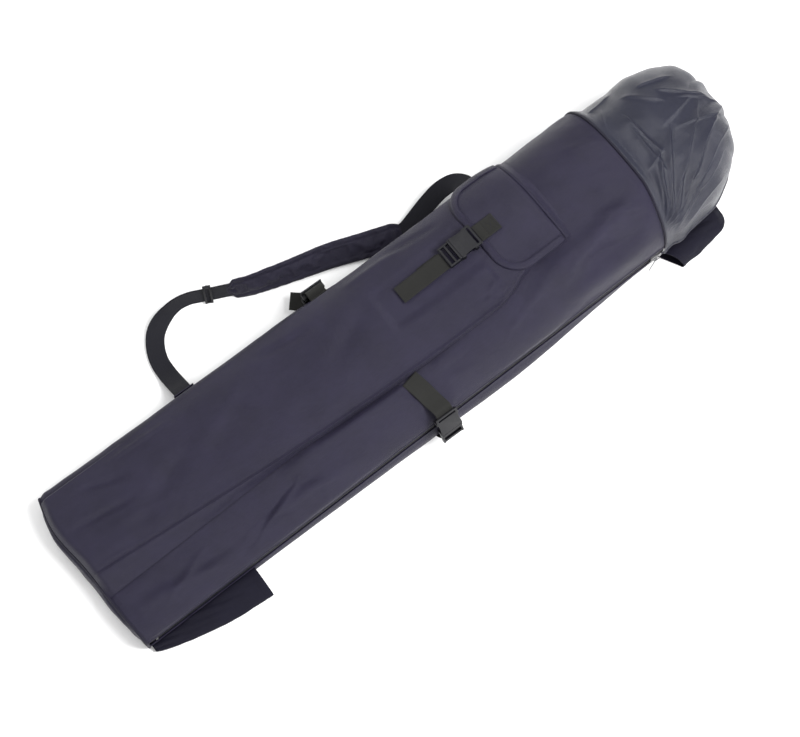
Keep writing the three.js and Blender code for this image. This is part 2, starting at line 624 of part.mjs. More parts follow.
// The cap's mouth is slanted: its outer edge starts further along than its inner one.
function capOutline(x) {
  const t = (x - CAP.mouth) / (CAP.end - CAP.mouth);
  const outer = lerp(-150, -136, t ** 2);
  const inner = lerp(-100, -88, t);
  const high = lerp(26, 14, t ** 2);
  const shape = [
    [inner, 0], [lerp(inner, outer, 0.5), 0], [outer + 3, 0], [outer, 3], [outer, 8],
    [outer + 8, high * 0.8], [outer + 22, high], [inner - 1, 7],
  ];
  return shape.map(([y, z]) => [y, z + 0.2, CAP.slant * (1 - t) ** 2 * ((inner - y) / (inner - outer))]);
}

function addPoleHolders() {
  add('side_cup', pouch([CUP.mouth, -450, -500, -545, -575, CUP.base], cupOutline, 1.6), 'fabric');
  add('side_cap', pouch([CAP.mouth, 410, 430, 470, 505, CAP.end], capOutline, 1.6), 'fabric');
}

// ---- hood ------------------------------------------------------------------------------------
// A dome over the mouth with straight skirts, open underneath, hinged on the mouth's top seam.
function hoodArc(turn, inset) {
  const reach = Math.sin(turn) ** (2 / HOOD.squareness);
  const close = Math.cos(turn) ** (2 / HOOD.squareness);
  const halfWidth = MOUTH.halfWidth * close - inset;
  const seam = lerp(MOUTH.seam, 74, reach);
  const rise = (MOUTH.height - MOUTH.seam) * close ** 0.85 - inset;
  const middle = HOOD.shift * reach ** 2;
  const low = lerp(HOOD.hemAtMouth, HOOD.hemAtTip, reach);
  const x = MOUTH.x + 0.6 + (HOOD.length - inset) * reach;
  const power = 2 / lerp(MOUTH.squareness, 2.2, reach);
  const arc = steps(0, Math.PI, 20).map((angle) => vec(
    x, middle - halfWidth * signedPower(Math.cos(angle), power), seam + rise * Math.sin(angle) ** power));
  return [vec(x, middle - halfWidth, low), ...arc, vec(x, middle + halfWidth, low)];
}

function addHood() {
  const turns = [0, 0.16, 0.36, 0.58, 0.8, 1, 1.18, 1.32, 1.43, 1.5, 1.54];
  const outer = turns.map((turn) => hoodArc(turn, 0));
  const inner = turns.map((turn) => hoodArc(turn, HOOD.thickness));
  add('hood', sheet(outer, inner, { closedEnd: true }), 'hood', 0.55);
  const bead = steps(0, 2 * Math.PI, 6).slice(0, -1).map((a) => [2.2 * Math.cos(a), 2.2 * Math.sin(a)]);
  const below = (p) => p.clone().add(vec(0, 0, -2.6));
  const rows = turns.map((turn) => hoodArc(turn, 2.4));
  const path = [...rows.map((r) => below(r[0])), ...[...rows].reverse().map((r) => below(r[r.length - 1]))];
  const frames = path.map((centre, i) => {
    const tangent = path[Math.min(i + 1, path.length - 1)].clone().sub(path[Math.max(0, i - 1)]);
    const across = tangent.cross(vec(0, 0, 1)).normalize();
    return { centre, across, normal: vec(0, 0, 1) };
  });
  add('hood_elastic', sweep(frames, bead), 'webbing');
}

// ---- shoulder strap --------------------------------------------------------------------------
// Route points are x, y, z and the strap's lean in degrees, its outer edge up; the list is a
// hand-laid route from the upper patch round to the lower one.
const STRAP_ROUTE = {
  upper: [[217, 140.5, 69, 0], [217, 150, 64, 0], [208, 165, 52, 6], [188, 173, 36, 12], [160, 171, 23, 14],
    [130, 164, 15.5, 14], [109.6, 159, 12.6, 14]],
  pad: [[100, 157.6, 12.4, 15], [40, 176.5, 15.5, 27], [-16, 195, 18.5, 36], [-80, 211, 21.2, 51],
    [-150, 230.5, 23.5, 62]],
  lower: [[-152, 231.2, 23, 63], [-163, 237.4, 20.6, 67], [-176, 244, 19.3, 69], [-196, 253.2, 19.2, 69],
    [-216, 262.4, 19.2, 69], [-236, 271.1, 19, 69], [-254, 275, 17, 66], [-272, 274, 14.5, 58],
    [-293, 268.5, 10, 35],
    [-309, 259, 5, 12], [-322, 241, 4, 5], [-330, 219, 4, 3], [-332, 195, 7, 0], [-332, 172, 18, 0],
    [-332, 155, 31, 0], [-332, 145.6, 37.5, 0]],
};

function routeFrames(route, count) {
  const curve = new THREE.CatmullRomCurve3(route.map(([x, y, z]) => vec(x, y, z)), false, 'centripetal');
  return steps(0, 1, count).map((t) => {
    const scaled = t * (route.length - 1);
    const i = Math.min(route.length - 2, Math.floor(scaled));
    const lean = THREE.MathUtils.degToRad(lerp(route[i][3], route[i + 1][3], scaled - i));
    const tangent = curve.getTangent(t);
    const level = tangent.clone().cross(vec(0, 0, 1)).normalize();
    const upright = level.clone().cross(tangent).normalize();
    const across = level.clone().multiplyScalar(Math.cos(lean)).addScaledVector(upright, Math.sin(lean));
    return { centre: curve.getPoint(t), tangent, across, normal: tangent.clone().cross(across).normalize() };
  });
}

function padSection() {
  const [u, v] = [PAD.width / 2, PAD.thickness / 2];
  return [[-u, -v * 0.3], [-u * 0.86, -v], [u * 0.86, -v], [u, -v * 0.3], [u, v * 0.3], [u * 0.86, v],
    [-u * 0.86, v], [-u, v * 0.3]];
}

function addShoulderStrap() {
  add('strap_webbing_upper', sweep(routeFrames(STRAP_ROUTE.upper, 14), webbingSection), 'webbing');
  add('shoulder_pad', sweep(routeFrames(STRAP_ROUTE.pad, 12), padSection()), 'fabric');
  const lower = routeFrames(STRAP_ROUTE.lower, 42);
  add('strap_webbing_lower', sweep(lower, webbingSection), 'webbing');
  addTriGlide(lower);
  for (const [name, x] of [['upper', 217], ['lower', -332]]) {
    const wall = sideAt(x) + 2;
    const [low, high] = [seamAt(x) - 14, seamAt(x) + 14];
    add(`strap_patch_${name}`, box(x - 18, x + 18, wall, wall + 1.6, low, high), 'fabric');
  }
}

// Three bars round the webbing: the middle one above it and the outer two below it.
function addTriGlide(frames) {
  const away = (frame) => Math.abs(frame.centre.x - GLIDE_X);
  const seat = frames.reduce((best, frame) => (away(frame) < away(best) ? frame : best));
  const glide = join(
    box(-6.5, 6.5, 15.6, 18.4, -2.4, 2.4), box(-6.5, 6.5, -18.4, -15.6, -2.4, 2.4),
    box(-1.5, 1.5, -18, 18, 1.3, 3.4),
    box(-6.5, -3.5, -18, 18, -3.4, -1.3), box(3.5, 6.5, -18, 18, -3.4, -1.3),
  );
  const frame = new THREE.Matrix4().makeBasis(seat.tangent, seat.across, seat.normal);
  add('tri_glide', glide.applyMatrix4(frame.setPosition(seat.centre)), 'plastic', 0.5);
}

addShell();
addBase();
addFarSeam();
addScoop();
addZip();
addSlider();
addPocket();
addFlap();
addFlapFastening();
addSideStraps();
addPoleHolders();
addHood();
addShoulderStrap();

export default bag;
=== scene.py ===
"""Looks of a long soft carry bag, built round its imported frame. Lengths are in millimetres."""

import math

import bmesh
import bpy
import numpy as np
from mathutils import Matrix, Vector


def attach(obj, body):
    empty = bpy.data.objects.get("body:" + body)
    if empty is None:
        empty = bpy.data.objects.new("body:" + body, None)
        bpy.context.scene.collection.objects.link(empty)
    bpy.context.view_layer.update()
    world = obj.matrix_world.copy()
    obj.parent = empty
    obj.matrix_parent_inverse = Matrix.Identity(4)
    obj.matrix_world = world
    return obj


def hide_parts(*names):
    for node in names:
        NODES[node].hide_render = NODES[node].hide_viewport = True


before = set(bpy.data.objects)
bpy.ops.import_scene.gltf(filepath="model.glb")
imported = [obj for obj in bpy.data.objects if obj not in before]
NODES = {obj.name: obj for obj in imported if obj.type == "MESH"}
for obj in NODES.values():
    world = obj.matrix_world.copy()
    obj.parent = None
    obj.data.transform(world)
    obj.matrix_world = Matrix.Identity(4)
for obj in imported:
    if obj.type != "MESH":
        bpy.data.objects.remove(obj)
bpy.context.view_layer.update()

# ---- driving dimensions: the CAD part's, but for the flap's rounder corner ---------------------
BASE = {"x": -600, "half": 142, "height": 52, "seam": 25, "square": 6}
MOUTH = {"x": 401, "half": 131, "height": 184, "seam": 82, "square": 2.6}
BELLY = 1.06
FABRIC = 2
# How far the front and back panels stop from the seam's middle, on the zip's side and the far side.
PANEL_EDGE = 11
FAR_EDGE = 3
ZIP_SLOT = 0.6
ZIP_START = -581
ZIP_END = 386
POCKET_MOUTH = 206
POCKET_TOP = 10.6
POCKET_LOW = 0.9
FLAP = {"hinge": 252, "edge": 148, "near": -46, "far": 118, "corner": 42, "thick": 2.4}
FLAP_BOTTOM = POCKET_TOP + 0.8
HINGE_LIFT = 5.4
RAMP_END = 212
WEB_WIDTH = 30
WEB_THICK = 1.5
BUCKLE_LENGTH = 38
PRONG_LENGTH = 22
# The side, the middle of the buckle's upper end, its lean in degrees and the strap's start on the shell.
SIDE_STRAP = (-1, (-46, -133, 98), 25.5, [(-60, 68), (-54, 92), (-49, 112)])
FAR_STRAP = (1, (-82, 142.5, 80), 0.0, [(-82, 125.5), (-82, 131)])
CUP = {"base": -594, "mouth": -405}
CAP = {"mouth": 393, "end": 527, "slant": 30}
PAD_WIDTH = 44
PAD_THICK = 9
# Where the pad's two stitched channels run, as a share of half its width.
PAD_CHANNEL = 5 / 9
HOOD_LENGTH = 210
# The share of the hood's girth that hangs straight down on each side.
HOOD_SKIRT = 0.05
# The furthest the shell's cloth may sink towards the foam behind it.
SHELL_DIP = 1.2
# How far the base end's seam bellies out, with a fuller part on the far side.
END_BULGE = 7
FAR_BULGE = {"out": 10, "y": 80, "spread": 56}
MOUTH_DRAW = 11
END_DRAW = 4
COLUMNS = 600
RIM_COUNT = 360
METRE = 0.001


def lerp(a, b, t):
    return a + (b - a) * t


def smooth(low, high, value):
    t = np.clip((value - low) / (high - low), 0, 1)
    return t * t * (3 - 2 * t)


def share(value, low, high):
    return np.clip((value - low) / (high - low), 0, 1)


def bell(value, middle, spread):
    return np.exp(-(((value - middle) / spread) ** 2))


def unit(v):
    return v / np.maximum(np.linalg.norm(v, axis=-1, keepdims=True), 1e-9)


def noise(p, q, seed):
    """Smooth noise from -1 to 1, where p and q count its cells. Each use of it has a seed of its own."""
    lattice = np.random.default_rng(seed).uniform(-1, 1, (64, 64))
    p, q = np.broadcast_arrays(np.asarray(p, float), np.asarray(q, float))
    i, j = np.floor(p).astype(int), np.floor(q).astype(int)
    f, g = smooth(0, 1, p - i), smooth(0, 1, q - j)
    a, b = lattice[i % 64, j % 64], lattice[(i + 1) % 64, j % 64]
    c, d = lattice[i % 64, (j + 1) % 64], lattice[(i + 1) % 64, (j + 1) % 64]
    return lerp(lerp(a, b, f), lerp(c, d, f), g)


def crease(x, y, x0, y0, x1, y1, width, height):
    """A fold across the plan, highest midway and fading to nothing at both ends."""
    dx, dy = x1 - x0, y1 - y0
    t = ((x - x0) * dx + (y - y0) * dy) / (dx ** 2 + dy ** 2)
    on = np.clip(t, 0, 1)
    away = np.hypot(x - lerp(x0, x1, on), y - lerp(y0, y1, on))
    return height * bell(away, 0, width) * smooth(-0.05, 0.35, t) * smooth(1.05, 0.65, t)


def creases(x, y, folds, width, height):
    """All the folds together, their widths and heights scaled."""
    return sum(crease(x, y, *ends, w * width, h * height) for *ends, w, h in folds)


# ---- the shell's surface -----------------------------------------------------------------------
def section_points(s, angles):
    """Points of a section's outline, y and z, from its near side over the top."""
    power = 2 / s["square"]
    c, n = np.cos(angles), np.sin(angles)
    y = -s["half"] * np.sign(c) * np.abs(c) ** power
    rise = np.abs(n) ** power
    above = s["seam"] + (s["height"] - s["seam"]) * rise
    below = np.maximum(0, s["seam"] * (1 - BELLY * rise))
    return np.stack([y, np.where(n >= 0, above, below)], -1)


def lengths_along(points):
    return np.concatenate([[0], np.cumsum(np.linalg.norm(np.diff(points, axis=0), axis=1))])


def interpolate(want, known, values):
    """The rows of values at the wanted places, where known says each row's place."""
    return np.stack([np.interp(want, known, column) for column in np.asarray(values).T], -1)


def even(points, count):
    """The polyline again with evenly spaced points."""
    lengths = lengths_along(points)
    return interpolate(np.linspace(0, lengths[-1], count + 1), lengths, points)


def angle_above(s, rise):
    return math.asin((rise / (s["height"] - s["seam"])) ** (s["square"] / 2))


def angle_below(s, drop):
    return math.asin((drop / (BELLY * s["seam"])) ** (s["square"] / 2))


def down_bag(x):
    """0 at the base end and 1 at the mouth."""
    return (x - BASE["x"]) / (MOUTH["x"] - BASE["x"])


class Skin:
    """A length of the shell. u runs from 0 to 1 round it, and lift is how far a point stands off it."""

    def __init__(self, angles_of):
        self.outlines = []
        self.normals = []
        for section in (BASE, MOUTH):
            dense = section_points(section, np.linspace(*angles_of(section), 4000))
            outline = even(dense, COLUMNS)
            step = np.gradient(outline, axis=0)
            self.outlines.append(outline)
            self.normals.append(unit(np.stack([-step[:, 1], step[:, 0]], -1)))

    def at(self, x, u, lift=0.0):
        x, u, lift = np.broadcast_arrays(np.asarray(x, float), np.asarray(u, float), lift)
        t = down_bag(x)[..., None]
        k = np.clip(u * COLUMNS, 0, COLUMNS - 1e-6)
        i = k.astype(int)
        f = (k - i)[..., None]
        pick = [lerp(rows[i], rows[i + 1], f) for rows in (*self.outlines, *self.normals)]
        place = lerp(pick[0], pick[1], t) + unit(lerp(pick[2], pick[3], t)) * lift[..., None]
        return np.concatenate([x[..., None], place], -1)

    def u_of(self, x, y):
        """Where the surface crosses y, for a skin whose y rises with u."""
        low, high = np.zeros(np.broadcast(x, y).shape), np.ones(np.broadcast(x, y).shape)
        for _ in range(26):
            middle = (low + high) / 2
            left = self.at(x, middle)[..., 1] < y
            low, high = np.where(left, middle, low), np.where(left, high, middle)
        return low

    def over(self, x, y, lift=0.0):
        return self.at(x, self.u_of(x, y), lift)


FRONT = Skin(lambda s: (angle_above(s, PANEL_EDGE), math.pi - angle_above(s, FAR_EDGE)))
BACK = Skin(lambda s: (math.pi + angle_below(s, FAR_EDGE), 2 * math.pi - angle_below(s, PANEL_EDGE)))


def side_at(x):
    return lerp(BASE["half"], MOUTH["half"], down_bag(x))


def seam_at(x):
    return lerp(BASE["seam"], MOUTH["seam"], down_bag(x))


def end_bulge(y):
    """How far the seam round the base end bellies out, along the bag."""
    even_part = END_BULGE * np.clip(1 - np.abs(y / BASE["half"]) ** 2.6, 0, 1)
    return even_part + FAR_BULGE["out"] * bell(y, FAR_BULGE["y"], FAR_BULGE["spread"])


def mouth_draw(y):
    """How far the mouth's seam is pulled towards the base on the zip side."""
    return MOUTH_DRAW * smooth(-40, -126, y)


def settle(points):
    """Moves the cloth along the bag, out with the base end's seam and back with the mouth's."""
    x, y = points[..., 0], points[..., 1]
    x = x - end_bulge(y) * smooth(-520, BASE["x"], x)
    points[..., 0] = x - mouth_draw(y) * smooth(290, MOUTH["x"], x)


def end_draw(x, y):
    """The cloth rounds over the base end's seam, except at the zip's corner."""
    return END_DRAW * smooth(BASE["x"] + 12, BASE["x"], x) * smooth(-110, -50, y)


def fade_ends(x):
    """0 at the seams of the base end and the mouth, 1 between them."""
    return smooth(BASE["x"], BASE["x"] + 25, x) * smooth(MOUTH["x"], MOUTH["x"] - 18, x)


# ---- mesh helpers ------------------------------------------------------------------------------
def mesh_piece(name, points, faces, uv=None):
    mesh = bpy.data.meshes.new(name)
    mesh.from_pydata((np.asarray(points, float) * METRE).tolist(), [], faces)
    if uv is not None:
        layer = mesh.uv_layers.new(name="UVMap")
        loops = np.zeros(len(mesh.loops), np.int32)
        mesh.loops.foreach_get("vertex_index", loops)
        layer.data.foreach_set("uv", (np.asarray(uv, float)[loops] * METRE).ravel().astype(np.float32))
    mesh.validate()
    mesh.shade_smooth()
    piece = bpy.data.objects.new(name, mesh)
    bpy.context.scene.collection.objects.link(piece)
    return piece


def recalculate(piece):
    """Turns every face outward."""
    work = bmesh.new()
    work.from_mesh(piece.data)
    bmesh.ops.recalc_face_normals(work, faces=work.faces)
    work.to_mesh(piece.data)
    work.free()


def grid_faces(rows, columns, wrap=False, loop=False):
    """Quads over a grid; wrap joins its last column to the first, and loop its last row."""
    faces = []
    for i in range(rows if loop else rows - 1):
        here, below = i * columns, (i + 1) % rows * columns
        for j in range(columns if wrap else columns - 1):
            beside = (j + 1) % columns
            faces.append((here + j, below + j, below + beside, here + beside))
    return faces


def grid_uv(points):
    """Lengths along the rows and columns of a grid of points, so that a weave keeps its scale."""
    across = np.linalg.norm(np.diff(points, axis=1), axis=2)
    down = np.linalg.norm(np.diff(points, axis=0), axis=2)
    v = np.concatenate([np.zeros((len(points), 1)), np.cumsum(across, 1)], 1)
    u = np.concatenate([np.zeros((1, points.shape[1])), np.cumsum(down, 0)], 0)
    return np.stack([u, v], -1)


def mesh_of_grid(name, points, faces):
    return mesh_piece(name, points.reshape(-1, 3), faces, grid_uv(points).reshape(-1, 2))


def modify(piece, kind, **settings):
    modifier = piece.modifiers.new(kind.lower(), kind)
    for key, value in settings.items():
        setattr(modifier, key, value)
    return modifier


def thicken(piece, thickness):
    """Gives a sheet its thickness, away from its face's side."""
    modify(piece, "SOLIDIFY", thickness=thickness * METRE, offset=-1, use_even_offset=False)


def round_edges(piece, width, segments=2, angle=50):
    limit = {"limit_method": "ANGLE", "angle_limit": math.radians(angle)}
    modify(piece, "BEVEL", width=width * METRE, segments=segments, harden_normals=False, **limit)


def grid_piece(name, points, thickness, edge=0.4, flip=False):
    """A sheet of cloth through a grid of points, its edges rounded off."""
    faces = grid_faces(*points.shape[:2])
    if flip:
        faces = [face[::-1] for face in faces]
    piece = mesh_of_grid(name, points, faces)
    thicken(piece, thickness)
    if edge:
        round_edges(piece, edge)
    return piece


def tube(name, rings):
    """A closed solid through rings of points, with a flat cap at each end."""
    rows, columns = rings.shape[:2]
    faces = grid_faces(rows, columns, wrap=True)
    faces += [tuple(range(columns)), tuple(range((rows - 1) * columns, rows * columns))[::-1]]
    piece = mesh_of_grid(name, rings, faces)
    recalculate(piece)
    return piece


def smooth_by_angle(piece, angle=35):
    piece.data.shade_smooth()
    bpy.context.view_layer.objects.active = piece
    piece.select_set(True)
    piece.data.set_sharp_from_angle(angle=math.radians(angle))
    piece.select_set(False)


# The pairs of knots between which each round of a Catmull-Rom span is interpolated.
KNOT_PAIRS = (((0, 1), (1, 2), (2, 3)), ((0, 2), (1, 3)), ((1, 2),))


def span_point(row, knots, t):
    for pairs in KNOT_PAIRS:
        shares = [(t - knots[low]) / (knots[high] - knots[low]) for low, high in pairs]
        row = [lerp(a, b, part) for a, b, part in zip(row, row[1:], shares)]
    return row[0]


def curve_through(points, per_span=8):
    """A centripetal Catmull-Rom curve through the points."""
    p = np.array(points, float)
    p = np.concatenate([[2 * p[0] - p[1]], p, [2 * p[-1] - p[-2]]])
    out = []
    for i in range(len(p) - 3):
        steps = np.maximum(np.linalg.norm(np.diff(p[i : i + 4], axis=0), axis=1), 1e-6) ** 0.5
        knots = [0.0, *np.cumsum(steps)]
        for t in np.linspace(knots[1], knots[2], per_span, endpoint=False):
            out.append(span_point(p[i : i + 4], knots, t))
    out.append(p[-2])
    return np.array(out)


def tangents(path):
    return unit(np.gradient(path, axis=0))


def rings_along(path, across, tangent, section):
    """The section's (across, up) outline at each point of a path."""
    up = np.cross(tangent, across)
    ring = np.array(section, float)
    return path[:, None] + across[:, None] * ring[None, :, :1] + up[:, None] * ring[None, :, 1:]


def swept(name, path, across, section):
    """A section carried along a path, with capped ends."""
    tangent = tangents(path)
    across = unit(across - tangent * np.sum(across * tangent, -1, keepdims=True))
    return tube(name, rings_along(path, across, tangent, section))


def web_section(width=WEB_WIDTH, thick=WEB_THICK):
    """A webbing's outline: flat faces, fat selvedges, listed so that its faces point out."""
    half, t = width / 2, thick / 2
    upper = [(-half + 0.15, 0.45 * t), (-half + 0.7, t), (-half + 2.6, t), (-half + 3.4, 0.82 * t)]
    top = [*upper, (0, 0.86 * t), *((-u, v) for u, v in reversed(upper))]
    return top + [(-u, -v) for u, v in top]


def round_section(radius, sides=10):
    angles = -2 * np.pi * np.arange(sides) / sides
    return np.stack([radius * np.cos(angles), radius * np.sin(angles)], -1)


def dashes(name, path, normals, pitch=3.2, length=2.3, radius=0.3):
    """A row of thread stitches along a path, each a small spindle lying on the cloth."""
    lengths = lengths_along(path)
    middles = np.arange(pitch / 2, lengths[-1], pitch)
    centre = interpolate(middles, lengths, path)
    normal = unit(interpolate(middles, lengths, normals))
    forward = unit(interpolate(middles + 0.5, lengths, path) - centre + 1e-9)
    side = np.cross(normal, forward)
    points, faces = [], []
    for c, f, s, n in zip(centre, forward, side, normal):
        k = len(points)
        points.append(c - f * length / 2)
        for part in (-0.3, 0.3):
            for angle in np.arange(6) * math.pi / 3:
                around = s * math.cos(angle) + n * math.sin(angle)
                points.append(c + f * length * part + around * radius)
        points.append(c + f * length / 2)
        for j in range(6):
            after = (j + 1) % 6
            faces.append((k, k + 1 + after, k + 1 + j))
            faces.append((k + 1 + j, k + 1 + after, k + 7 + after, k + 7 + j))
            faces.append((k + 13, k + 7 + j, k + 7 + after))
    return mesh_piece(name, points, faces)


def skin_line(skin, xs, us):
    """A path just off a skin, and its outward directions."""
    path = skin.at(xs, us, 0.2)
    return path, skin.at(xs, us, 1.2) - path


def on_front(xs, ys, lift):
    """Points and outward normals of a path over the front of the shell."""
    xs, ys = np.broadcast_arrays(np.asarray(xs, float), np.asarray(ys, float))
    low, high = FRONT.over(xs, ys, lift), FRONT.over(xs, ys, lift + 1)
    return low, unit(high - low)


def stitched(name, body, xs, ys, lift, **size):
    dress(dashes(name, *on_front(xs, ys, lift), **size), body, "thread")


# ---- materials ---------------------------------------------------------------------------------
class Nodes:
    """Short calls for making a material's nodes."""

    def __init__(self, name, colour, roughness, **sockets):
        self.colour = colour
        self.material = bpy.data.materials.new(name)
        self.material.use_nodes = True
        self.tree = self.material.node_tree
        self.shader = self.tree.nodes["Principled BSDF"]
        self.shader.inputs["Base Color"].default_value = (*colour, 1)
        self.shader.inputs["Roughness"].default_value = roughness
        self.material.diffuse_color = (*colour, 1)
        for socket, value in sockets.items():
            self.shader.inputs[socket.replace("_", " ")].default_value = value

    def node(self, kind, inputs=(), **settings):
        node = self.tree.nodes.new(kind)
        for key, value in settings.items():
            setattr(node, key, value)
        for socket, value in dict(inputs).items():
            if isinstance(value, bpy.types.NodeSocket):
                self.tree.links.new(value, node.inputs[socket])
            else:
                node.inputs[socket].default_value = value
        return node

    def math(self, operation, a, b=0.0):
        return self.node("ShaderNodeMath", {0: a, 1: b}, operation=operation).outputs[0]

    def blend(self, a, a_share, b, b_share):
        parts = self.math("MULTIPLY", a, a_share), self.math("MULTIPLY", b, b_share)
        return self.math("ADD", *parts)

    def noise(self, vector, scale, detail=2.0, roughness=0.5):
        inputs = {"Vector": vector, "Scale": scale, "Detail": detail, "Roughness": roughness}
        return self.node("ShaderNodeTexNoise", inputs).outputs["Fac"]

    def ramp(self, value, low, high, start=0.0, end=1.0):
        inputs = {"Value": value, "From Min": low, "From Max": high, "To Min": start, "To Max": end}
        return self.node("ShaderNodeMapRange", inputs).outputs["Result"]

    def place(self, coordinates="UV"):
        return self.node("ShaderNodeTexCoord").outputs[coordinates]

    def split(self, vector):
        node = self.node("ShaderNodeSeparateXYZ", {0: vector})
        return node.outputs[0], node.outputs[1]

    def wave(self, value, pitch):
        return self.math("SINE", self.math("MULTIPLY", value, 2 * math.pi / (pitch * METRE)))

    def tint(self, factor, dark, light):
        """The base colour times dark where the factor is 0, and times light where it is 1."""
        ends = [(*(c * part for c in self.colour), 1) for part in (dark, light)]
        node = self.node("ShaderNodeMix", {0: factor, 6: ends[0], 7: ends[1]}, data_type="RGBA")
        self.tree.links.new(node.outputs[2], self.shader.inputs["Base Color"])

    def bump(self, height, distance, strength=1.0):
        inputs = {"Height": height, "Distance": distance * METRE, "Strength": strength}
        if self.shader.inputs["Normal"].is_linked:
            inputs["Normal"] = self.shader.inputs["Normal"].links[0].from_socket
        node = self.node("ShaderNodeBump", inputs)
        self.tree.links.new(node.outputs[0], self.shader.inputs["Normal"])

    def roughen(self, value):
        self.tree.links.new(value, self.shader.inputs["Roughness"])


def woven(name, colour, roughness, pitch, depth, crinkle=0.0, shine=0.2):
    """A plain weave: two crossed sets of threads, with faint streaks and patches of painted sheen and
    shade.
    """
    sheen = {"Sheen_Weight": 0.02, "Sheen_Roughness": 0.45}
    n = Nodes(name, colour, roughness, Specular_IOR_Level=shine, **sheen)
    uv = n.place()
    u, v = n.split(uv)
    threads = n.math("MULTIPLY", n.wave(u, pitch), n.wave(v, pitch))
    patches = n.noise(uv, 14.0, 4.0, 0.6)
    streaks = n.noise(n.node("ShaderNodeMapping", {0: uv, 3: (60, 900, 1)}).outputs[0], 1.0, 2.0)
    # Painted sheen and shade: the colour goes lighter and darker in random patches and streaks, standing
    # in for light on soft swells of the cloth.
    n.tint(n.ramp(n.blend(patches, 0.65, streaks, 0.35), 0.3, 0.72), 0.74, 1.26)
    n.roughen(n.ramp(patches, 0.2, 0.8, roughness - 0.06, roughness + 0.08))
    if crinkle:
        n.bump(n.noise(uv, 55.0, 4.0, 0.62), crinkle)
    n.bump(n.noise(uv, 420.0, 2.0), 0.12)
    n.bump(threads, depth)
    return n.material


def webbing(name, colour):
    """Flat webbing: raised bars across it, broken into lengthwise rows."""
    n = Nodes(name, colour, 0.7, Sheen_Weight=0.03, Sheen_Roughness=0.5, Specular_IOR_Level=0.2)
    uv = n.place()
    u, v = n.split(uv)
    bars = n.wave(n.math("ADD", u, n.math("MULTIPLY", n.wave(v, 5.2), 0.0003)), 1.5)
    height = n.blend(bars, 0.6, n.math("ABSOLUTE", n.wave(v, 2.6)), 0.5)
    # The colour follows the height: painted shade in the hollows between the bars, mixed with a random
    # unevenness of tone.
    hollow_shade_and_tone = n.blend(height, 0.5, n.noise(uv, 900.0, 2.0), 0.5)
    n.tint(n.ramp(hollow_shade_and_tone, 0.0, 0.8), 0.72, 1.2)
    n.bump(height, 0.22)
    return n.material


def moulded(name, colour, roughness):
    n = Nodes(name, colour, roughness, Specular_IOR_Level=0.28)
    place = n.place("Object")
    cloud = n.noise(place, 60.0, 3.0)
    n.tint(n.ramp(cloud, 0.3, 0.7), 0.9, 1.15)
    n.roughen(n.ramp(n.noise(place, 240.0, 3.0), 0.3, 0.7, roughness - 0.05, roughness + 0.09))
    n.bump(n.noise(place, 2600.0, 1.0), 0.02)
    return n.material


def enamelled(name, colour, roughness):
    n = Nodes(name, colour, roughness, Metallic=0.9)
    place = n.place("Object")
    wear = n.noise(place, 700.0, 4.0, 0.7)
    n.tint(n.ramp(wear, 0.45, 0.72), 0.85, 1.35)
    n.roughen(n.ramp(wear, 0.3, 0.7, roughness - 0.06, roughness + 0.12))
    return n.material


def foam(name, colour):
    n = Nodes(name, colour, 0.9)
    place = n.place("Object")
    cells = n.noise(place, 900.0, 3.0, 0.7)
    n.tint(cells, 0.85, 1.1)
    n.bump(cells, 0.3)
    return n.material


# Woven: colour, roughness, the weave's pitch and depth, crinkle, shine. The others: colour, roughness.
LOOKS = {
    "shell_fabric": (woven, (0.0138, 0.0118, 0.0268), 0.46, 0.9, 0.1, 0.6),
    # A darker copy of the shell's cloth for the pole cup and cap: painted shade for their place low under
    # the bag.
    "holder_fabric": (woven, (0.0065, 0.006, 0.013), 0.6, 0.9, 0.1, 0.5, 0.1),
    "hood_fabric": (woven, (0.008, 0.0088, 0.02), 0.32, 0.5, 0.05, 0.5, 0.36),
    "lining_fabric": (woven, (0.008, 0.008, 0.012), 0.7, 0.8, 0.08, 0.5),
    "binding": (woven, (0.01, 0.0085, 0.019), 0.58, 1.1, 0.14),
    "pad_fabric": (woven, (0.0105, 0.009, 0.02), 0.52, 0.9, 0.1, 0.5),
    "zip_tape": (woven, (0.009, 0.008, 0.014), 0.7, 0.8, 0.1),
    "webbing": (webbing, (0.0115, 0.0115, 0.0105)),
    "strap_webbing": (webbing, (0.0075, 0.0075, 0.0115)),
    "buckle_plastic": (moulded, (0.0045, 0.0045, 0.0065), 0.38),
    "zip_metal": (enamelled, (0.17, 0.17, 0.175), 0.36),
    "zip_coil": (moulded, (0.01, 0.01, 0.014), 0.45),
    "foam": (foam, (0.22, 0.23, 0.25)),
    "thread": (moulded, (0.012, 0.011, 0.018), 0.6),
}
MATERIALS = {name: make(name, *settings) for name, (make, *settings) in LOOKS.items()}


def dress(piece, body, slot, *nodes, look=None):
    """Gives a piece the material of its look, or else of its slot, hangs it on its body and hides the CAD
    nodes that it stands for.
    """
    if nodes:
        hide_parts(*nodes)
    piece.data.materials.clear()
    piece.data.materials.append(MATERIALS[look or slot])
    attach(piece, body)


# ---- the shell's cloth -------------------------------------------------------------------------
def cloth_noise(x, s, seed):
    """Soft swells, longer along the bag than round it, with a finer rumple on top of them."""
    swell = noise(x / 120, s / 75, seed) * 1.5 + noise(x / 55 + s / 90, s / 38, seed + 1) * 0.8
    return swell + noise(x / 21 + s / 40, s / 17, seed + 2) * 0.28


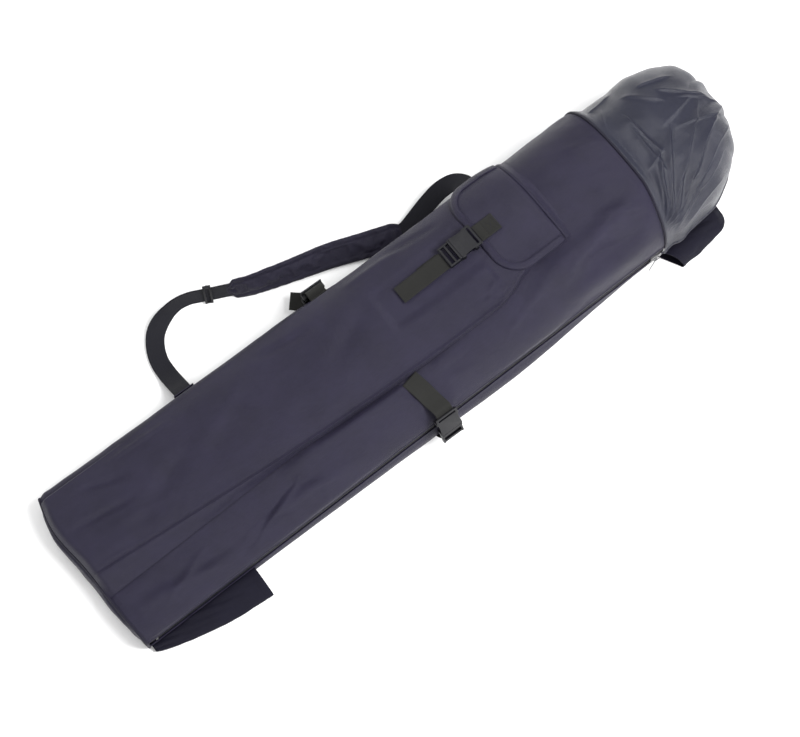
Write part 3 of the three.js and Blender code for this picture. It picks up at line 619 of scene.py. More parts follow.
# Every crease and pleat: its start and its end in plan, its width and its height.
FRONT_CREASES = [
    (-380, -118, -250, -78, 7, 1.8), (-420, -128, -300, -86, 6, -1.6), (-560, -120, -430, -76, 8, 1.4),
    (-330, -74, -200, -118, 9, -1.4), (-130, -84, 20, -108, 10, 1.8), (-20, -90, 120, -104, 8, -1.6),
    (60, -112, 210, -74, 9, 1.6), (190, -100, 330, -62, 12, 2.2), (250, -92, 380, -104, 9, -1.8),
    (420, -58, 150, -80, 20, 6.5), (392, -120, 190, -114, 11, 3.2), (60, -84, -300, -66, 15, 3.6),
    (-180, -112, -400, -104, 13, 4.2), (-400, -122, -580, -92, 12, 3.4), (270, 30, 390, -10, 14, 1.2),
    (300, -40, 398, -86, 8, 1.8), (330, 70, 398, 40, 9, 1.2),
]


def strap_cover(x, y):
    """1 where a side strap presses the shell's cloth flat, 0 away from it."""
    cover = 0
    for side, top, _, start in (SIDE_STRAP, FAR_STRAP):
        beside = smooth(WEB_WIDTH / 2 + 22, WEB_WIDTH / 2 + 2, np.abs(x - top[0]))
        cover = np.maximum(cover, beside * smooth(-start[0][1] + 16, -start[0][1] + 2, -side * y))
    return cover


def shell_grid(skin, start, end, rows, columns):
    """The shell's bare surface as a grid: along it, round it, its points and its girth."""
    x = np.linspace(start, end, rows)[:, None]
    u = np.linspace(0, 1, columns)[None]
    ground = skin.at(x, u)
    return x, u, ground, grid_uv(ground)[..., 1]


def front_cloth():
    x, u, ground, s = shell_grid(FRONT, BASE["x"] + 2.4, MOUTH["x"] - 3, 430, 190)
    y = ground[..., 1]
    lift = cloth_noise(x, s, 11) * lerp(1.2, 2.0, smooth(30, -50, y))
    lift = lift + creases(x, y, FRONT_CREASES, 0.8, 1.5)
    lift = lift * (1 - strap_cover(x, y))
    edges = smooth(0, 14, s) * smooth(0, 14, s[:, -1:] - s)
    under = pocket_cover(x, y)
    lift = np.maximum(lift, -SHELL_DIP) * edges * fade_ends(x) * (1 - under) - 0.6 * under
    rim = 0.9 * bell(s, 3.2, 1.2) - 0.6 * bell(s, 6, 1.1)
    points = FRONT.at(x, u, lift + rim - end_draw(x, y))
    settle(points)
    dress(grid_piece("front_cloth", points, FABRIC), "bag", "shell_fabric", "front_panel")


def back_cloth():
    x, u, ground, s = shell_grid(BACK, BASE["x"] + 2.4, MOUTH["x"], 260, 130)
    free = smooth(0.3, 8, ground[..., 2]) * fade_ends(x)
    from_zip = s[:, -1:] - s
    edges = smooth(0, 12, s) * smooth(0, 12, from_zip)
    deep = smooth(32, 46, seam_at(x))
    belly = lerp(8, 18, deep) * smooth(390, 60, x) * smooth(0, lerp(12, 22, deep), from_zip)
    belly = belly * smooth(92, 38, from_zip)
    lift = (cloth_noise(x, s, 23) * edges * 0.8 + belly) * free
    points = BACK.at(x, u, lift - end_draw(x, ground[..., 1]))
    points[..., 2] = np.maximum(points[..., 2], 0)
    settle(points)
    dress(grid_piece("back_cloth", points, FABRIC), "bag", "shell_fabric", "back_panel")


def base_ring(inset, count=RIM_COUNT):
    ring = even(section_points(BASE, np.linspace(0, 2 * math.pi, 6000)), count)[:-1]
    step = (np.roll(ring, -1, 0) - np.roll(ring, 1, 0)) / 2
    normal = unit(np.stack([-step[:, 1], step[:, 0]], -1))
    return ring - normal * (inset + END_DRAW * smooth(-110, -50, ring[:, 0]))[:, None]


def base_end():
    """The end panel bulges a little, a piped seam runs round it and a flat board is sewn in behind."""
    rim = base_ring(2.4)
    middle = np.array([0, BASE["height"] / 2])
    rows = []
    for part in np.concatenate([np.linspace(0, 0.9, 16), [0.96, 0.985]]):
        ring = lerp(rim, middle, part)
        swell = end_bulge(ring[:, 0]) + 6 * (1 - (1 - part) ** 2.4) + 3 * smooth(0, 0.2, part)
        rumple = noise(ring[:, 0] / 30, ring[:, 1] / 14, 31) * 1.4 * min(1, part * 4)
        rows.append(np.column_stack([BASE["x"] + 1.2 - swell + rumple, ring]))
    faces = grid_faces(len(rows), RIM_COUNT, wrap=True)
    faces.append(tuple(range((len(rows) - 1) * RIM_COUNT, len(rows) * RIM_COUNT)))
    flat = np.array(rows).reshape(-1, 3)
    panel = mesh_piece("base_cloth", flat, faces, flat[:, 1:])
    recalculate(panel)
    dress(panel, "bag", "shell_fabric", "base_panel")
    base_piping()
    ring = base_ring(4.0, 160)
    rings = [np.column_stack([np.full(len(ring), BASE["x"] + x), ring]) for x in (2.8, 5.4)]
    board = tube("base_board", np.array(rings))
    smooth_by_angle(board)
    dress(board, "bag", "buckle_plastic", "base_stiffener")


def base_piping():
    ring = base_ring(0.6, 300)
    path = np.column_stack([BASE["x"] + 1.0 - end_bulge(ring[:, 0]), ring])
    tangent = unit(np.roll(path, -1, 0) - np.roll(path, 1, 0))
    rings = rings_along(path, np.tile([1.0, 0, 0], (len(path), 1)), tangent, round_section(2.5))
    faces = grid_faces(len(rings), rings.shape[1], wrap=True, loop=True)
    piping = mesh_of_grid("base_piping_cord", rings, faces)
    recalculate(piping)
    dress(piping, "bag", "binding", "base_piping")


def seams():
    """The piped seam along the far side and the one over the mouth, where the hood begins."""
    xs = np.linspace(BASE["x"] + 6, MOUTH["x"] - 3, 160)
    wobble = noise(xs / 40, xs * 0, 41) * 0.5
    path = np.column_stack([xs, side_at(xs) - 0.8 + wobble, seam_at(xs)])
    far = swept("far_seam_piping", path, np.tile([0, 1.0, 0], (len(xs), 1)), round_section(2.4))
    dress(far, "bag", "binding", "side_seam_piping")
    path, outward = skin_line(FRONT, MOUTH["x"] - 1.4, np.linspace(0, 1, 150))
    path[:, 0] -= mouth_draw(path[:, 1])
    band = [(-1.5, -1.6), (-1.5, 0.2), (-1.0, 0.9), (0, 1.1), (1.0, 0.9), (1.5, 0.2), (1.5, -1.6)]
    across = np.cross(tangents(path), outward)
    mouth = swept("mouth_seam", path, across, band)
    dress(mouth, "bag", "binding", "mouth_binding")


# ---- pocket ------------------------------------------------------------------------------------
def near_ridge(x):
    spread = np.sin(np.pi / 2 * share(x, BASE["x"], 80))
    back = np.sin(np.pi / 2 * share(x, 110, POCKET_MOUTH)) ** 2
    return -18 - 46 * spread + 22 * back


def near_foot(x):
    return np.minimum(-55 + 10 * share(x, 110, POCKET_MOUTH), near_ridge(x) - 4)


def far_ridge(x):
    return lerp(124, 112, down_bag(x))


def pocket_cover(x, y):
    """1 where the pocket lies on the shell, 0 outside it."""
    inside = smooth(-8, 4, y - near_foot(x)) * smooth(-8, 4, far_ridge(x) + 5 - y)
    return inside * smooth(POCKET_MOUTH + 12, POCKET_MOUTH - 4, x)


POCKET_CREASES = [
    (-590, -10, -470, -30, 7, 1.6), (-560, 108, -470, 72, 9, -2.4), (-585, 60, -480, 40, 8, -1.8),
    (-560, 30, -440, 10, 12, 1.3), (-420, -36, -330, -44, 6, -1.2), (-300, 60, -180, -20, 16, 1.2),
    (-230, 100, -120, 80, 9, -1.5), (-60, 104, 60, 96, 8, 1.6), (-40, 0, 60, -50, 12, -1.2),
    (90, -56, 160, -20, 9, 1.4), (70, -40, 170, -52, 6, -1.3), (20, 106, 130, 90, 7, -1.3),
    (-500, 112, -380, 104, 6, 1.4), (-520, 0, -360, 60, 22, -1.8), (-380, 40, -240, 90, 20, 1.5),
    (-150, 10, -20, 70, 22, -1.4),
]


def pocket_lift(x, y):
    near, far = near_ridge(x), far_ridge(x)
    puff = 2.2 * smooth(0, 30, y - near) * smooth(0, 30, far - y)
    free = smooth(0, 22, y - near)
    swell = noise(x / 95, y / 60, 51) * 1.9 + noise(x / 40 + y / 70, y / 30, 52) * 0.7
    lift = POCKET_TOP + puff + swell * free + noise(x / 16, y / 13, 53) * 0.18
    lift = lift + creases(x, y, POCKET_CREASES, 0.75, 1.6) * smooth(2, 14, y - near)
    pinch = 2.2 * bell(y - near, 0.4, 1.4)
    stitch = 0.9 * bell(y - near, 5.0, 1.2)
    flat = smooth(-14, 6, y - 2) * smooth(74, 60, y) * smooth(-38, -22, x)
    lift = lerp(lift, POCKET_TOP - 0.1, flat)
    lift = lerp(lift, np.minimum(lift, POCKET_TOP + 0.5), smooth(126, 140, x))
    return lift + pinch * smooth(150, 110, x) - stitch


def pocket_row(x, gusset, body):
    """The y and the lift of the pocket's cloth across the bag: near gusset, front, far gusset."""
    near, far, foot = near_ridge(x), far_ridge(x), near_foot(x)
    y_front = lerp(near, far, body)
    front = pocket_lift(np.full(len(body), float(x)), y_front)
    rise = lerp(gusset, smooth(0, 1, gusset) ** 0.9, 0.4)
    sag = noise(x / 26, gusset * 2, 54) * 1.2 * np.sin(np.pi * gusset) * smooth(2, 20, near - foot)
    near_side = lerp(POCKET_LOW, front[0], rise) + sag
    far_side = lerp(front[-1], POCKET_LOW, gusset[1:])
    y = np.concatenate([lerp(foot, near, gusset[:-1]), y_front, lerp(far, far + 5, gusset[1:])])
    lift = np.concatenate([near_side[:-1], front, far_side])
    closing = math.sin(math.pi / 2 * min(1, (x - BASE["x"]) / 10))
    return y, lerp(POCKET_LOW, lift, closing ** 0.8)


def pocket():
    """The pocket's front and its gusset are one cloth, folded at the ridges and closed at the base."""
    closed_end = np.linspace(BASE["x"] + 1, BASE["x"] + 9, 6)
    xs = np.concatenate([closed_end, np.linspace(BASE["x"] + 12, POCKET_MOUTH, 380)])
    rows = [pocket_row(x, np.linspace(0, 1, 16), np.linspace(0, 1, 116)) for x in xs]
    y, lift = (np.array(part) for part in zip(*rows))
    x = np.broadcast_to(xs[:, None], y.shape)
    points = FRONT.over(x, y, lift - end_draw(x, y))
    settle(points)
    dress(grid_piece("pocket_cloth", points, 1.4), "bag", "shell_fabric", "pocket_panel", "pocket_gusset")
    xs = np.linspace(BASE["x"] + 10, POCKET_MOUTH - 2, 320)
    rim = near_ridge(xs) + 5.5
    stitched("pocket_ridge_stitching", "bag", xs, rim, pocket_lift(xs, rim) + 0.1)
    xs = xs[:250]
    stitched("pocket_foot_stitching", "bag", xs, near_foot(xs) - 0.7, 1.7)


# ---- flap --------------------------------------------------------------------------------------
def flap_edge(y):
    corner = FLAP["corner"]
    reach = np.maximum(0, np.maximum(FLAP["near"] + corner - y, y - FLAP["far"] + corner))
    return FLAP["edge"] + corner - np.sqrt(np.maximum(0, corner ** 2 - reach ** 2))


def flap_floor(x):
    """How far the flap's underside stands off the shell, over the pocket and down to the hinge."""
    ramp = np.sin(np.pi / 2 * share(x, FLAP["hinge"], RAMP_END))
    return lerp(HINGE_LIFT, FLAP_BOTTOM, ramp)


FLAP_CREASES = [(240, 20, 180, 90, 11, 1.2), (238, -20, 196, -36, 8, 1.0)]


def flap_lift(x, y):
    rim = np.minimum(x - flap_edge(y), np.minimum(y - FLAP["near"], FLAP["far"] - y))
    lift = flap_floor(x) + FLAP["thick"] + noise(x / 34, y / 40, 61) * 0.7 * smooth(4, 18, rim)
    lift = lift + creases(x, y, FLAP_CREASES, 1, 1)
    lift = lift + noise(x / 13, y / 15, 62) * 0.14
    fold = 1.2 * bell(x, FLAP["hinge"], 2.0)
    return lift - fold - 0.5 * bell(rim, 9.2, 1.2)


def flap():
    near_part = np.linspace(FLAP["near"], FLAP["near"] + 28, 30)
    ys = np.concatenate([near_part, np.linspace(-16, 88, 70), np.linspace(90, FLAP["far"], 30)])
    t = np.linspace(0, 1, 70)[:, None]
    x = lerp(flap_edge(ys)[None], FLAP["hinge"], t)
    y = np.broadcast_to(ys[None], x.shape)
    piece = grid_piece("flap_cloth", FRONT.over(x, y, flap_lift(x, y)), 1.9)
    dress(piece, "pocket_flap", "shell_fabric", "pocket_flap")
    flap_seam()
    flap_trim()


def flap_rim(inset):
    """The flap's edge from the hinge round to the hinge again, moved in by inset."""
    near, far, edge = FLAP["near"] + inset, FLAP["far"] - inset, FLAP["edge"] + inset
    corner = FLAP["corner"] - inset
    turn = np.linspace(0, math.pi / 2, 16)
    bend_x, bend_y = edge + corner * (1 - np.sin(turn)), corner * (1 - np.cos(turn))
    side = np.linspace(FLAP["hinge"] - 2, edge + corner + 4, 18)
    front = np.linspace(near + corner + 5, far - corner - 5, 26)
    xs = np.concatenate([side, bend_x, np.full(26, edge), bend_x[::-1], side[::-1]])
    ys = np.concatenate([np.full(18, near), near + bend_y, front, far - bend_y[::-1], np.full(18, far)])
    return np.column_stack([xs, ys])


# Across the tape, from its stitched edge on top to the one underneath: the inset and the lift.
TAPE_FOLD = [
    (8.0, 2.4), (7.6, 3.2), (4.0, 3.5), (0.6, 3.5), (-1.6, 2.2), (-2.0, 0.1), (-1.6, -1.3), (0.4, -1.6),
    (0.9, -1.1),
]


def flap_trim():
    """A tape folded over the flap's edge and stitched down on top of it."""
    rows = []
    for inset, lift in TAPE_FOLD:
        rim = flap_rim(inset)
        ripple = noise(np.arange(len(rim)) / 5, np.full(len(rim), inset / 9), 63) * 0.25
        rows.append(FRONT.over(rim[:, 0], rim[:, 1], flap_floor(rim[:, 0]) + lift + ripple))
    tape = grid_piece("flap_tape", np.array(rows).transpose(1, 0, 2), 0.7, edge=0, flip=True)
    dress(tape, "pocket_flap", "shell_fabric", "flap_binding")
    rim = flap_rim(6.2)
    stitched("flap_stitching", "pocket_flap", rim[:, 0], rim[:, 1], flap_floor(rim[:, 0]) + 3.5)


def flap_seam():
    ys = np.linspace(FLAP["near"], FLAP["far"], 110)[None]
    start = FLAP["hinge"] + 0.4
    x = np.linspace(start, start + 18, 20)[:, None]
    fall = smooth(start, start + 16, x)
    fold = 1.2 * bell(x, start, 1.6)
    lift = lerp(HINGE_LIFT + 2.2, 1.3, fall) - fold + noise(x / 8, ys / 15, 64) * 0.25
    piece = grid_piece("flap_seam_cloth", FRONT.over(x + 0 * ys, ys + 0 * x, lift), 1.3, edge=0.3)
    dress(piece, "bag", "shell_fabric", "flap_seam")
    ys = np.linspace(FLAP["near"] + 2, FLAP["far"] - 2, 80)
    stitched("flap_seam_stitching", "bag", np.full(80, start + 4.0), ys, HINGE_LIFT + 1.6)


# ---- webbing on the pocket ---------------------------------------------------------------------
FLAP_WEB_Y = 38


def web_strip(name, body, route, *nodes, width=WEB_WIDTH, y=FLAP_WEB_Y, turned_end=False):
    """Webbing over the pocket; route is a list of (x, lift)."""
    path = curve_through([(x, lift, 0) for x, lift in route], 10)
    centre = FRONT.over(path[:, 0], np.full(len(path), float(y)), path[:, 1])
    edge = FRONT.over(path[:, 0], np.full(len(path), y + 5.0), path[:, 1])
    piece = swept(name, centre, unit(edge - centre), web_section(width))
    dress(piece, body, "webbing", *nodes)
    if turned_end:
        bar = np.array([route[0][0] + 7.0, route[0][0] + 7.0])
        stitched(name + "_hem", body, bar, np.array([y - 13.0, y + 13.0]), route[0][1] + 0.8)


def box_stitch(name, body, x0, x1, y0, y1, lift):
    """A sewn box with a cross in it."""
    corners = [(x0, y0), (x1, y0), (x1, y1), (x0, y1), (x0, y0), (x1, y1), (x1, y0), (x0, y1)]
    lines = [np.linspace(a, b, 12)[:-1] for a, b in zip(corners, corners[1:])]
    stitched(name, body, *np.concatenate(lines).T, lift, pitch=2.6, length=2.0)


def pocket_webbing():
    tab = FLAP_BOTTOM + FLAP["thick"] + 1.75
    route = [(187, tab), (170, tab), (158, tab + 0.4), (151, tab + 1.6)]
    web_strip("flap_tab_web", "pocket_flap", route, "flap_tab")
    route = [(150.4, tab + 2.4), (156, tab + 2.3), (164, tab + 1.6)]
    web_strip("flap_tab_fold", "pocket_flap", route, width=29)
    near, far = FLAP_WEB_Y - 12, FLAP_WEB_Y + 12
    box_stitch("flap_tab_stitching", "pocket_flap", 168, 184, near, far, tab + 0.75)
    low = POCKET_TOP + 1.55
    route = [(48, low), (66, low), (85, low)]
    web_strip("flap_anchor_web", "bag", route, "flap_strap_anchor", y=FLAP_WEB_Y + 2.0)
    rises = [(3, -0.5), (12, -0.1), (30, 0.5), (48, 0.2), (62, 0.9), (80, 1.2), (88.6, 1.2)]
    route = [(x, POCKET_TOP + 3.85 + rise) for x, rise in rises]
    y = FLAP_WEB_Y - 1.0
    web_strip("flap_tail_web", "flap_latch", route, "flap_strap_tail", y=y, turned_end=True)


# ---- side straps -------------------------------------------------------------------------------
def strap_web(name, points, node, slope=0.0):
    path = curve_through(points, 12)
    lean = slope * np.maximum(0, 1 - 1.4 * np.linspace(0, 1, len(path)))
    across = np.column_stack([np.ones(len(path)), np.zeros(len(path)), lean])
    dress(swept(name, path, across, web_section()), "bag", "webbing", node)


def side_strap(name, side, top, lean, start):
    """Webbing over the shell into a buckle's socket, and from its prong piece on under the bag."""
    angle = math.radians(lean)
    up = np.array([0, -side * math.sin(angle), math.cos(angle)])
    outward = np.array([0, side * math.cos(angle), math.sin(angle)])

    def at(down, out):
        return tuple(np.array(top) - up * down + outward * out)

    over = [tuple(FRONT.over(x, side * y, 3.4)) for x, y in start]
    slope = (MOUTH["height"] - BASE["height"]) / (MOUTH["x"] - BASE["x"])
    upper = [*over, at(-6, 1.5), at(-0.5, 5), at(7, 5.4)]
    strap_web(f"{name}_web_upper", upper, f"{name}_strap_upper", slope)
    wall = side_at(top[0])
    lower = [at(BUCKLE_LENGTH + 3, -2.4), at(BUCKLE_LENGTH + PRONG_LENGTH, -5)]
    lower += [(top[0], side * (wall + 2), 9), (top[0], side * (wall - 9), 2.4)]
    strap_web(f"{name}_web_lower", lower, f"{name}_strap_lower")


# The far strap's loose end: points on its centre line and the way its width runs.
FAR_TAIL = [(-83, 150.6, 21), (-90, 154.5, 21), (-101, 161.5, 21.2), (-112, 171, 21.6)]
FAR_TAIL_ACROSS = np.array([(1, 0.05, 0), (1, 0.15, 0), (0.96, 0.28, 0), (0.93, 0.36, 0)])


def side_straps():
    side_strap("side", *SIDE_STRAP)
    side_strap("far", *FAR_STRAP)
    path = curve_through(FAR_TAIL, 8)
    k = np.linspace(0, 3, len(path))
    across = interpolate(k, range(4), FAR_TAIL_ACROSS)
    tail = swept("far_tail_web", path, across, web_section())
    dress(tail, "far_latch", "webbing", "far_strap_tail")


# ---- zip ---------------------------------------------------------------------------------------
def zip_point(x):
    x = np.asarray(x, float)
    return np.stack([x, -side_at(x), seam_at(x)], -1)


def zip_frame():
    """The ways along the zip, up across it and out of it."""
    along = unit(zip_point(MOUTH["x"]) - zip_point(BASE["x"]))
    out = unit(np.cross(along, [0, 0, 1.0]))
    return along, np.cross(out, along), out


# A turn of the coil, from the zip's middle outward: how far out and how thick it is there.
COIL_PROFILE = [(0.5, 0.55), (0.9, 0.95), (1.6, 0.9), (2.4, 0.62), (3.4, 0.6), (3.8, 0.35)]


def coil(side, sign):
    """A nylon coil: each turn is a rounded bar with a bulb at the middle of the zip."""
    along, up, out = zip_frame()
    xs = np.arange(ZIP_START + 1, ZIP_END - 0.5, 2.0) + (0 if sign > 0 else 1.0)
    sides = 8
    points, faces = [], []
    for centre in zip_point(xs):
        k = len(points)
        for reach, radius in COIL_PROFILE:
            ring = centre + up * reach * sign + out * -1.6
            for angle in np.arange(sides) * 2 * math.pi / sides:
                oval = along * math.cos(angle) * 0.85 + out * math.sin(angle) * 1.25
                points.append(ring + oval * radius)
        quads = grid_faces(len(COIL_PROFILE), sides, wrap=True)
        faces += [tuple(k + corner for corner in face) for face in quads]
        faces.append(tuple(range(k, k + sides)))
        faces.append(tuple(range(len(points) - sides, len(points))))
    piece = mesh_piece(f"zip_teeth_{side}", points, faces)
    recalculate(piece)
    dress(piece, "bag", "zip_coil", f"zip_coil_{side}")


def tape(side, sign):
    """The zip's tape, its inner edge thickened into a cord that the coil is sewn to."""
    _, up, out = zip_frame()
    reach = np.concatenate([[ZIP_SLOT, 1.2, 2.0, 3.4, 4.2, 5.0], np.linspace(6, 12.6, 8)])
    rise = np.array([0.2, 0.5, 0.6, 0.5, 0.25, 0.05] + [0.0] * 8)
    xs = np.linspace(BASE["x"] + 7, MOUTH["x"] - 5, 240)
    base = zip_point(xs)[:, None]
    wave = noise(xs[:, None] / 30, reach[None] / 12, 71) * 0.35 * smooth(4, 9, reach)[None]
    points = base + up * (reach * sign)[None, :, None] + out * (rise[None] - 3.5 + wave)[..., None]
    piece = grid_piece(f"zip_tape_{side}_cloth", points, 0.6, edge=0, flip=sign < 0)
    dress(piece, "bag", "zip_tape", f"zip_tape_{side}")


def zip_fastener():
    for side, sign in (("upper", 1), ("lower", -1)):
        coil(side, sign)
        tape(side, sign)
    for part, edge in (("stop_top", 0.5), ("stop_bottom", 0.5), ("slider", 0.6), ("pull", 0.35)):
        keep(f"zip_{part}", "zip_metal", edge)
    xs = np.linspace(BASE["x"] + 8, MOUTH["x"] - 6, 300)
    for side, skin, u in (("upper", FRONT, 0.02), ("lower", BACK, 0.98)):
        line = skin_line(skin, xs, np.full(300, u))
        dress(dashes(f"zip_stitching_{side}", *line), "bag", "thread")


# ---- kept CAD nodes ----------------------------------------------------------------------------
def keep(node, slot, edge=0.0):
    """A CAD node shown as it is, with its own material and softened edges."""
    piece = NODES[node]
    piece.data.materials.clear()
    piece.data.materials.append(MATERIALS[slot])
    if edge:
        modify(piece, "WELD", merge_threshold=0.01 * METRE)
        round_edges(piece, edge, 3, 30)
    smooth_by_angle(piece)


def kept_nodes():
    keep("foam_liner", "foam")
    keep("inner_lining", "lining_fabric")
    keep("mouth_scoop", "shell_fabric")
    for name in ("flap", "side", "far"):
        keep(f"{name}_buckle_female", "buckle_plastic", 0.7)
        keep(f"{name}_buckle_male", "buckle_plastic", 0.6)
    keep("tri_glide", "buckle_plastic", 0.6)
    for end in ("upper", "lower"):
        keep(f"strap_patch_{end}", "shell_fabric", 0.5)


# ---- pole cup and cap --------------------------------------------------------------------------
SLEEVE_COUNT = 72


def closed_curve(points, count):
    """An even closed outline through the points, with its corners rounded."""
    p = np.array(points, float)
    looped = np.concatenate([p[-2:], p, p[:3]])
    dense = curve_through(looped, 12)[24 : 24 + 12 * len(p) + 1]
    return even(dense, count)[:-1]


def cup_outline(x):
    t = (x - CUP["base"]) / (CUP["mouth"] - CUP["base"])
    inner = -side_at(x) - 0.4
    reach = 8 + 38 * math.sin(math.pi / 2 * t) ** 0.8
    height = lerp(12, 22, t)
    floor = [(0, 0), (-reach * 0.4, 0), (-reach * 0.8, 0), (-reach, 3), (-reach, 7)]
    roof = [(-reach * 0.75, height * 0.7), (-reach * 0.35, height), (0, height)]
    return [(inner + y, z + 0.3) for y, z in floor + roof]


def cap_outline(x):
    t = (x - CAP["mouth"]) / (CAP["end"] - CAP["mouth"])
    turned = share(t, 0.86, 1.0)
    outer = lerp(-153, -140, t ** 2) + 16 * (1 - math.sqrt(1 - 0.98 * turned ** 2))
    inner = lerp(-100, -88, t)
    high = lerp(26, 14, t ** 2)
    floor = [(inner, 0), (lerp(inner, outer, 0.5), 0), (outer + 3, 0), (outer, 3), (outer, 8)]
    roof = [(outer + 8, high * 0.8), (outer + 22, high), (inner - 1, 7)]
    return [(y, z + 0.3) for y, z in floor + roof]


def sleeve_ring(outline, x, gone, from_mouth, seed):
    """The sleeve's outline at x, rippled, with a thicker hem and its closed end pinched."""
    ring = closed_curve(outline(x), SLEEVE_COUNT)
    middle = ring.mean(0)
    away = unit(ring - middle)
    turn = np.arange(SLEEVE_COUNT) * 2 * math.pi / SLEEVE_COUNT
    c, s = np.cos(turn), np.sin(turn)
    ripple = noise(c * 2 + x / 28, s * 2, seed) * 1.5 * smooth(0.02, 0.3, gone)
    ripple = ripple + noise(c * 5 + x / 11, s * 5, seed + 1) * 0.4
    pinch = 1 - smooth(0.9, 1.0, gone) * 0.45
    hem = 0.8 * smooth(9.5, 8.0, from_mouth)
    ring = middle + (ring - middle) * [1, pinch] + away * (ripple * 0.8 + hem - 0.8)[:, None]
    ring[:, 1] = np.maximum(ring[:, 1], 0.3)
    return ring


def sleeve(name, node, xs, outline, seed, slant=0.0):
    """A cloth sleeve, open at the first x and sewn shut at the last; a slant cuts its mouth back."""
    rows = []
    for x in xs:
        from_mouth = abs(x - xs[0])
        gone = from_mouth / abs(xs[-1] - xs[0])
        ring = sleeve_ring(outline, x, gone, from_mouth, seed)
        outward = (ring[:, 0].max() - ring[:, 0]) / np.ptp(ring[:, 0])
        rows.append(np.column_stack([x + slant * (1 - gone) ** 2 * outward, ring]))
    points = np.array(rows)
    faces = grid_faces(len(rows), SLEEVE_COUNT, wrap=True)
    faces.append(tuple(range((len(rows) - 1) * SLEEVE_COUNT, len(rows) * SLEEVE_COUNT))[::-1])
    if xs[-1] > xs[0]:
        faces = [face[::-1] for face in faces]
    piece = mesh_of_grid(name, points, faces)
    thicken(piece, 1.4)
    # The sleeve is the shell's cloth, drawn in its darker copy: a painted shade.
    dress(piece, "bag", "shell_fabric", node, look="holder_fabric")
    hem_row = points[int(np.argmin(abs(abs(xs - xs[0]) - 7.5)))]
    away = unit(hem_row - hem_row.mean(0))
    away = np.concatenate([away, away[:1]])
    path = np.concatenate([hem_row, hem_row[:1]]) + away * 0.1
    dress(dashes(name + "_stitching", path, away), "bag", "thread")


def pole_holders():
    sleeve("cup_cloth", "side_cup", np.linspace(CUP["mouth"], CUP["base"], 110), cup_outline, 81)
    xs = np.linspace(CAP["mouth"], CAP["end"], 90)
    sleeve("cap_cloth", "side_cap", xs, cap_outline, 85, CAP["slant"])


# ---- hood --------------------------------------------------------------------------------------
def hood_point(reach, arc, inset=0.0):
    """A point of the hood: reach is 0 at the mouth and 1 at the tip, arc 0 and 1 at the hems."""
    close = np.cos(np.arcsin(np.clip(reach, 0, 1) ** 1.5)) ** (2 / 3)
    half = MOUTH["half"] * close - inset
    rise = (MOUTH["height"] - MOUTH["seam"]) * close ** 0.85 - inset
    power = 2 / lerp(MOUTH["square"], 2.2, reach)
    angle = np.clip((arc - HOOD_SKIRT) / (1 - 2 * HOOD_SKIRT), 0, 1) * math.pi
    c, s = np.cos(angle), np.maximum(np.sin(angle), 0)
    y = 26 * reach ** 2 - half * np.sign(c) * np.abs(c) ** power
    z = lerp(MOUTH["seam"], 74, reach) + rise * s ** power
    drop = np.clip(1 - np.minimum(arc, 1 - arc) / HOOD_SKIRT, 0, 1)
    z = lerp(z, lerp(66, 40, reach), drop)
    x = MOUTH["x"] + 0.6 + (HOOD_LENGTH - inset) * reach
    x = x - mouth_draw(y) * smooth(0.6, 0.0, reach)
    return np.stack(np.broadcast_arrays(x, y, z), -1)


def pleat(x, y, x0, y0, x1, y1, width, height):
    """A fold laid over on one side: it rises slowly from its left and drops sharply on its right."""
    long = math.hypot(x1 - x0, y1 - y0)
    dx, dy = (x1 - x0) / long, (y1 - y0) / long
    t = ((x - x0) * dx + (y - y0) * dy) / long
    away = (y - y0) * dx - (x - x0) * dy
    shape = np.where(away > 0, np.exp(-away / width), np.exp(away / 1.6))
    return height * shape * smooth(-0.06, 0.2, t) * smooth(1.08, 0.75, t)


HOOD_PLEATS = [
    (398, -112, 452, -20, 10, 4.5), (402, -104, 430, -52, 6, 3.5), (400, -118, 500, 6, 13, 5.5),
    (404, -120, 560, 10, 12, 6.5), (406, -122, 586, -14, 11, 5.5), (410, -124, 572, -50, 9, 5.0),
    (416, -126, 548, -76, 8, 4.5), (430, -128, 536, -100, 7, 3.5), (438, -60, 446, 30, 9, 3.8),
    (456, -28, 450, 60, 12, 3.4), (470, 92, 520, 40, 12, 3.0), (520, 64, 584, 10, 9, 3.6),
    (500, 88, 560, 72, 8, 3.0), (540, 34, 600, -4, 7, 3.4), (480, 4, 560, 24, 11, 2.8),
    (412, 104, 470, 114, 10, 2.6), (560, -30, 602, -8, 6, 3.4), (500, -8, 596, -24, 6, 3.0),
    (404, 36, 432, 98, 10, 2.2), (418, -40, 462, -24, 7, 2.8), (556, -56, 592, -40, 6, 3.2),
]


# The near end of the mouth seam, which the pleats fan out from.
FAN_CORNER = (396, -128)


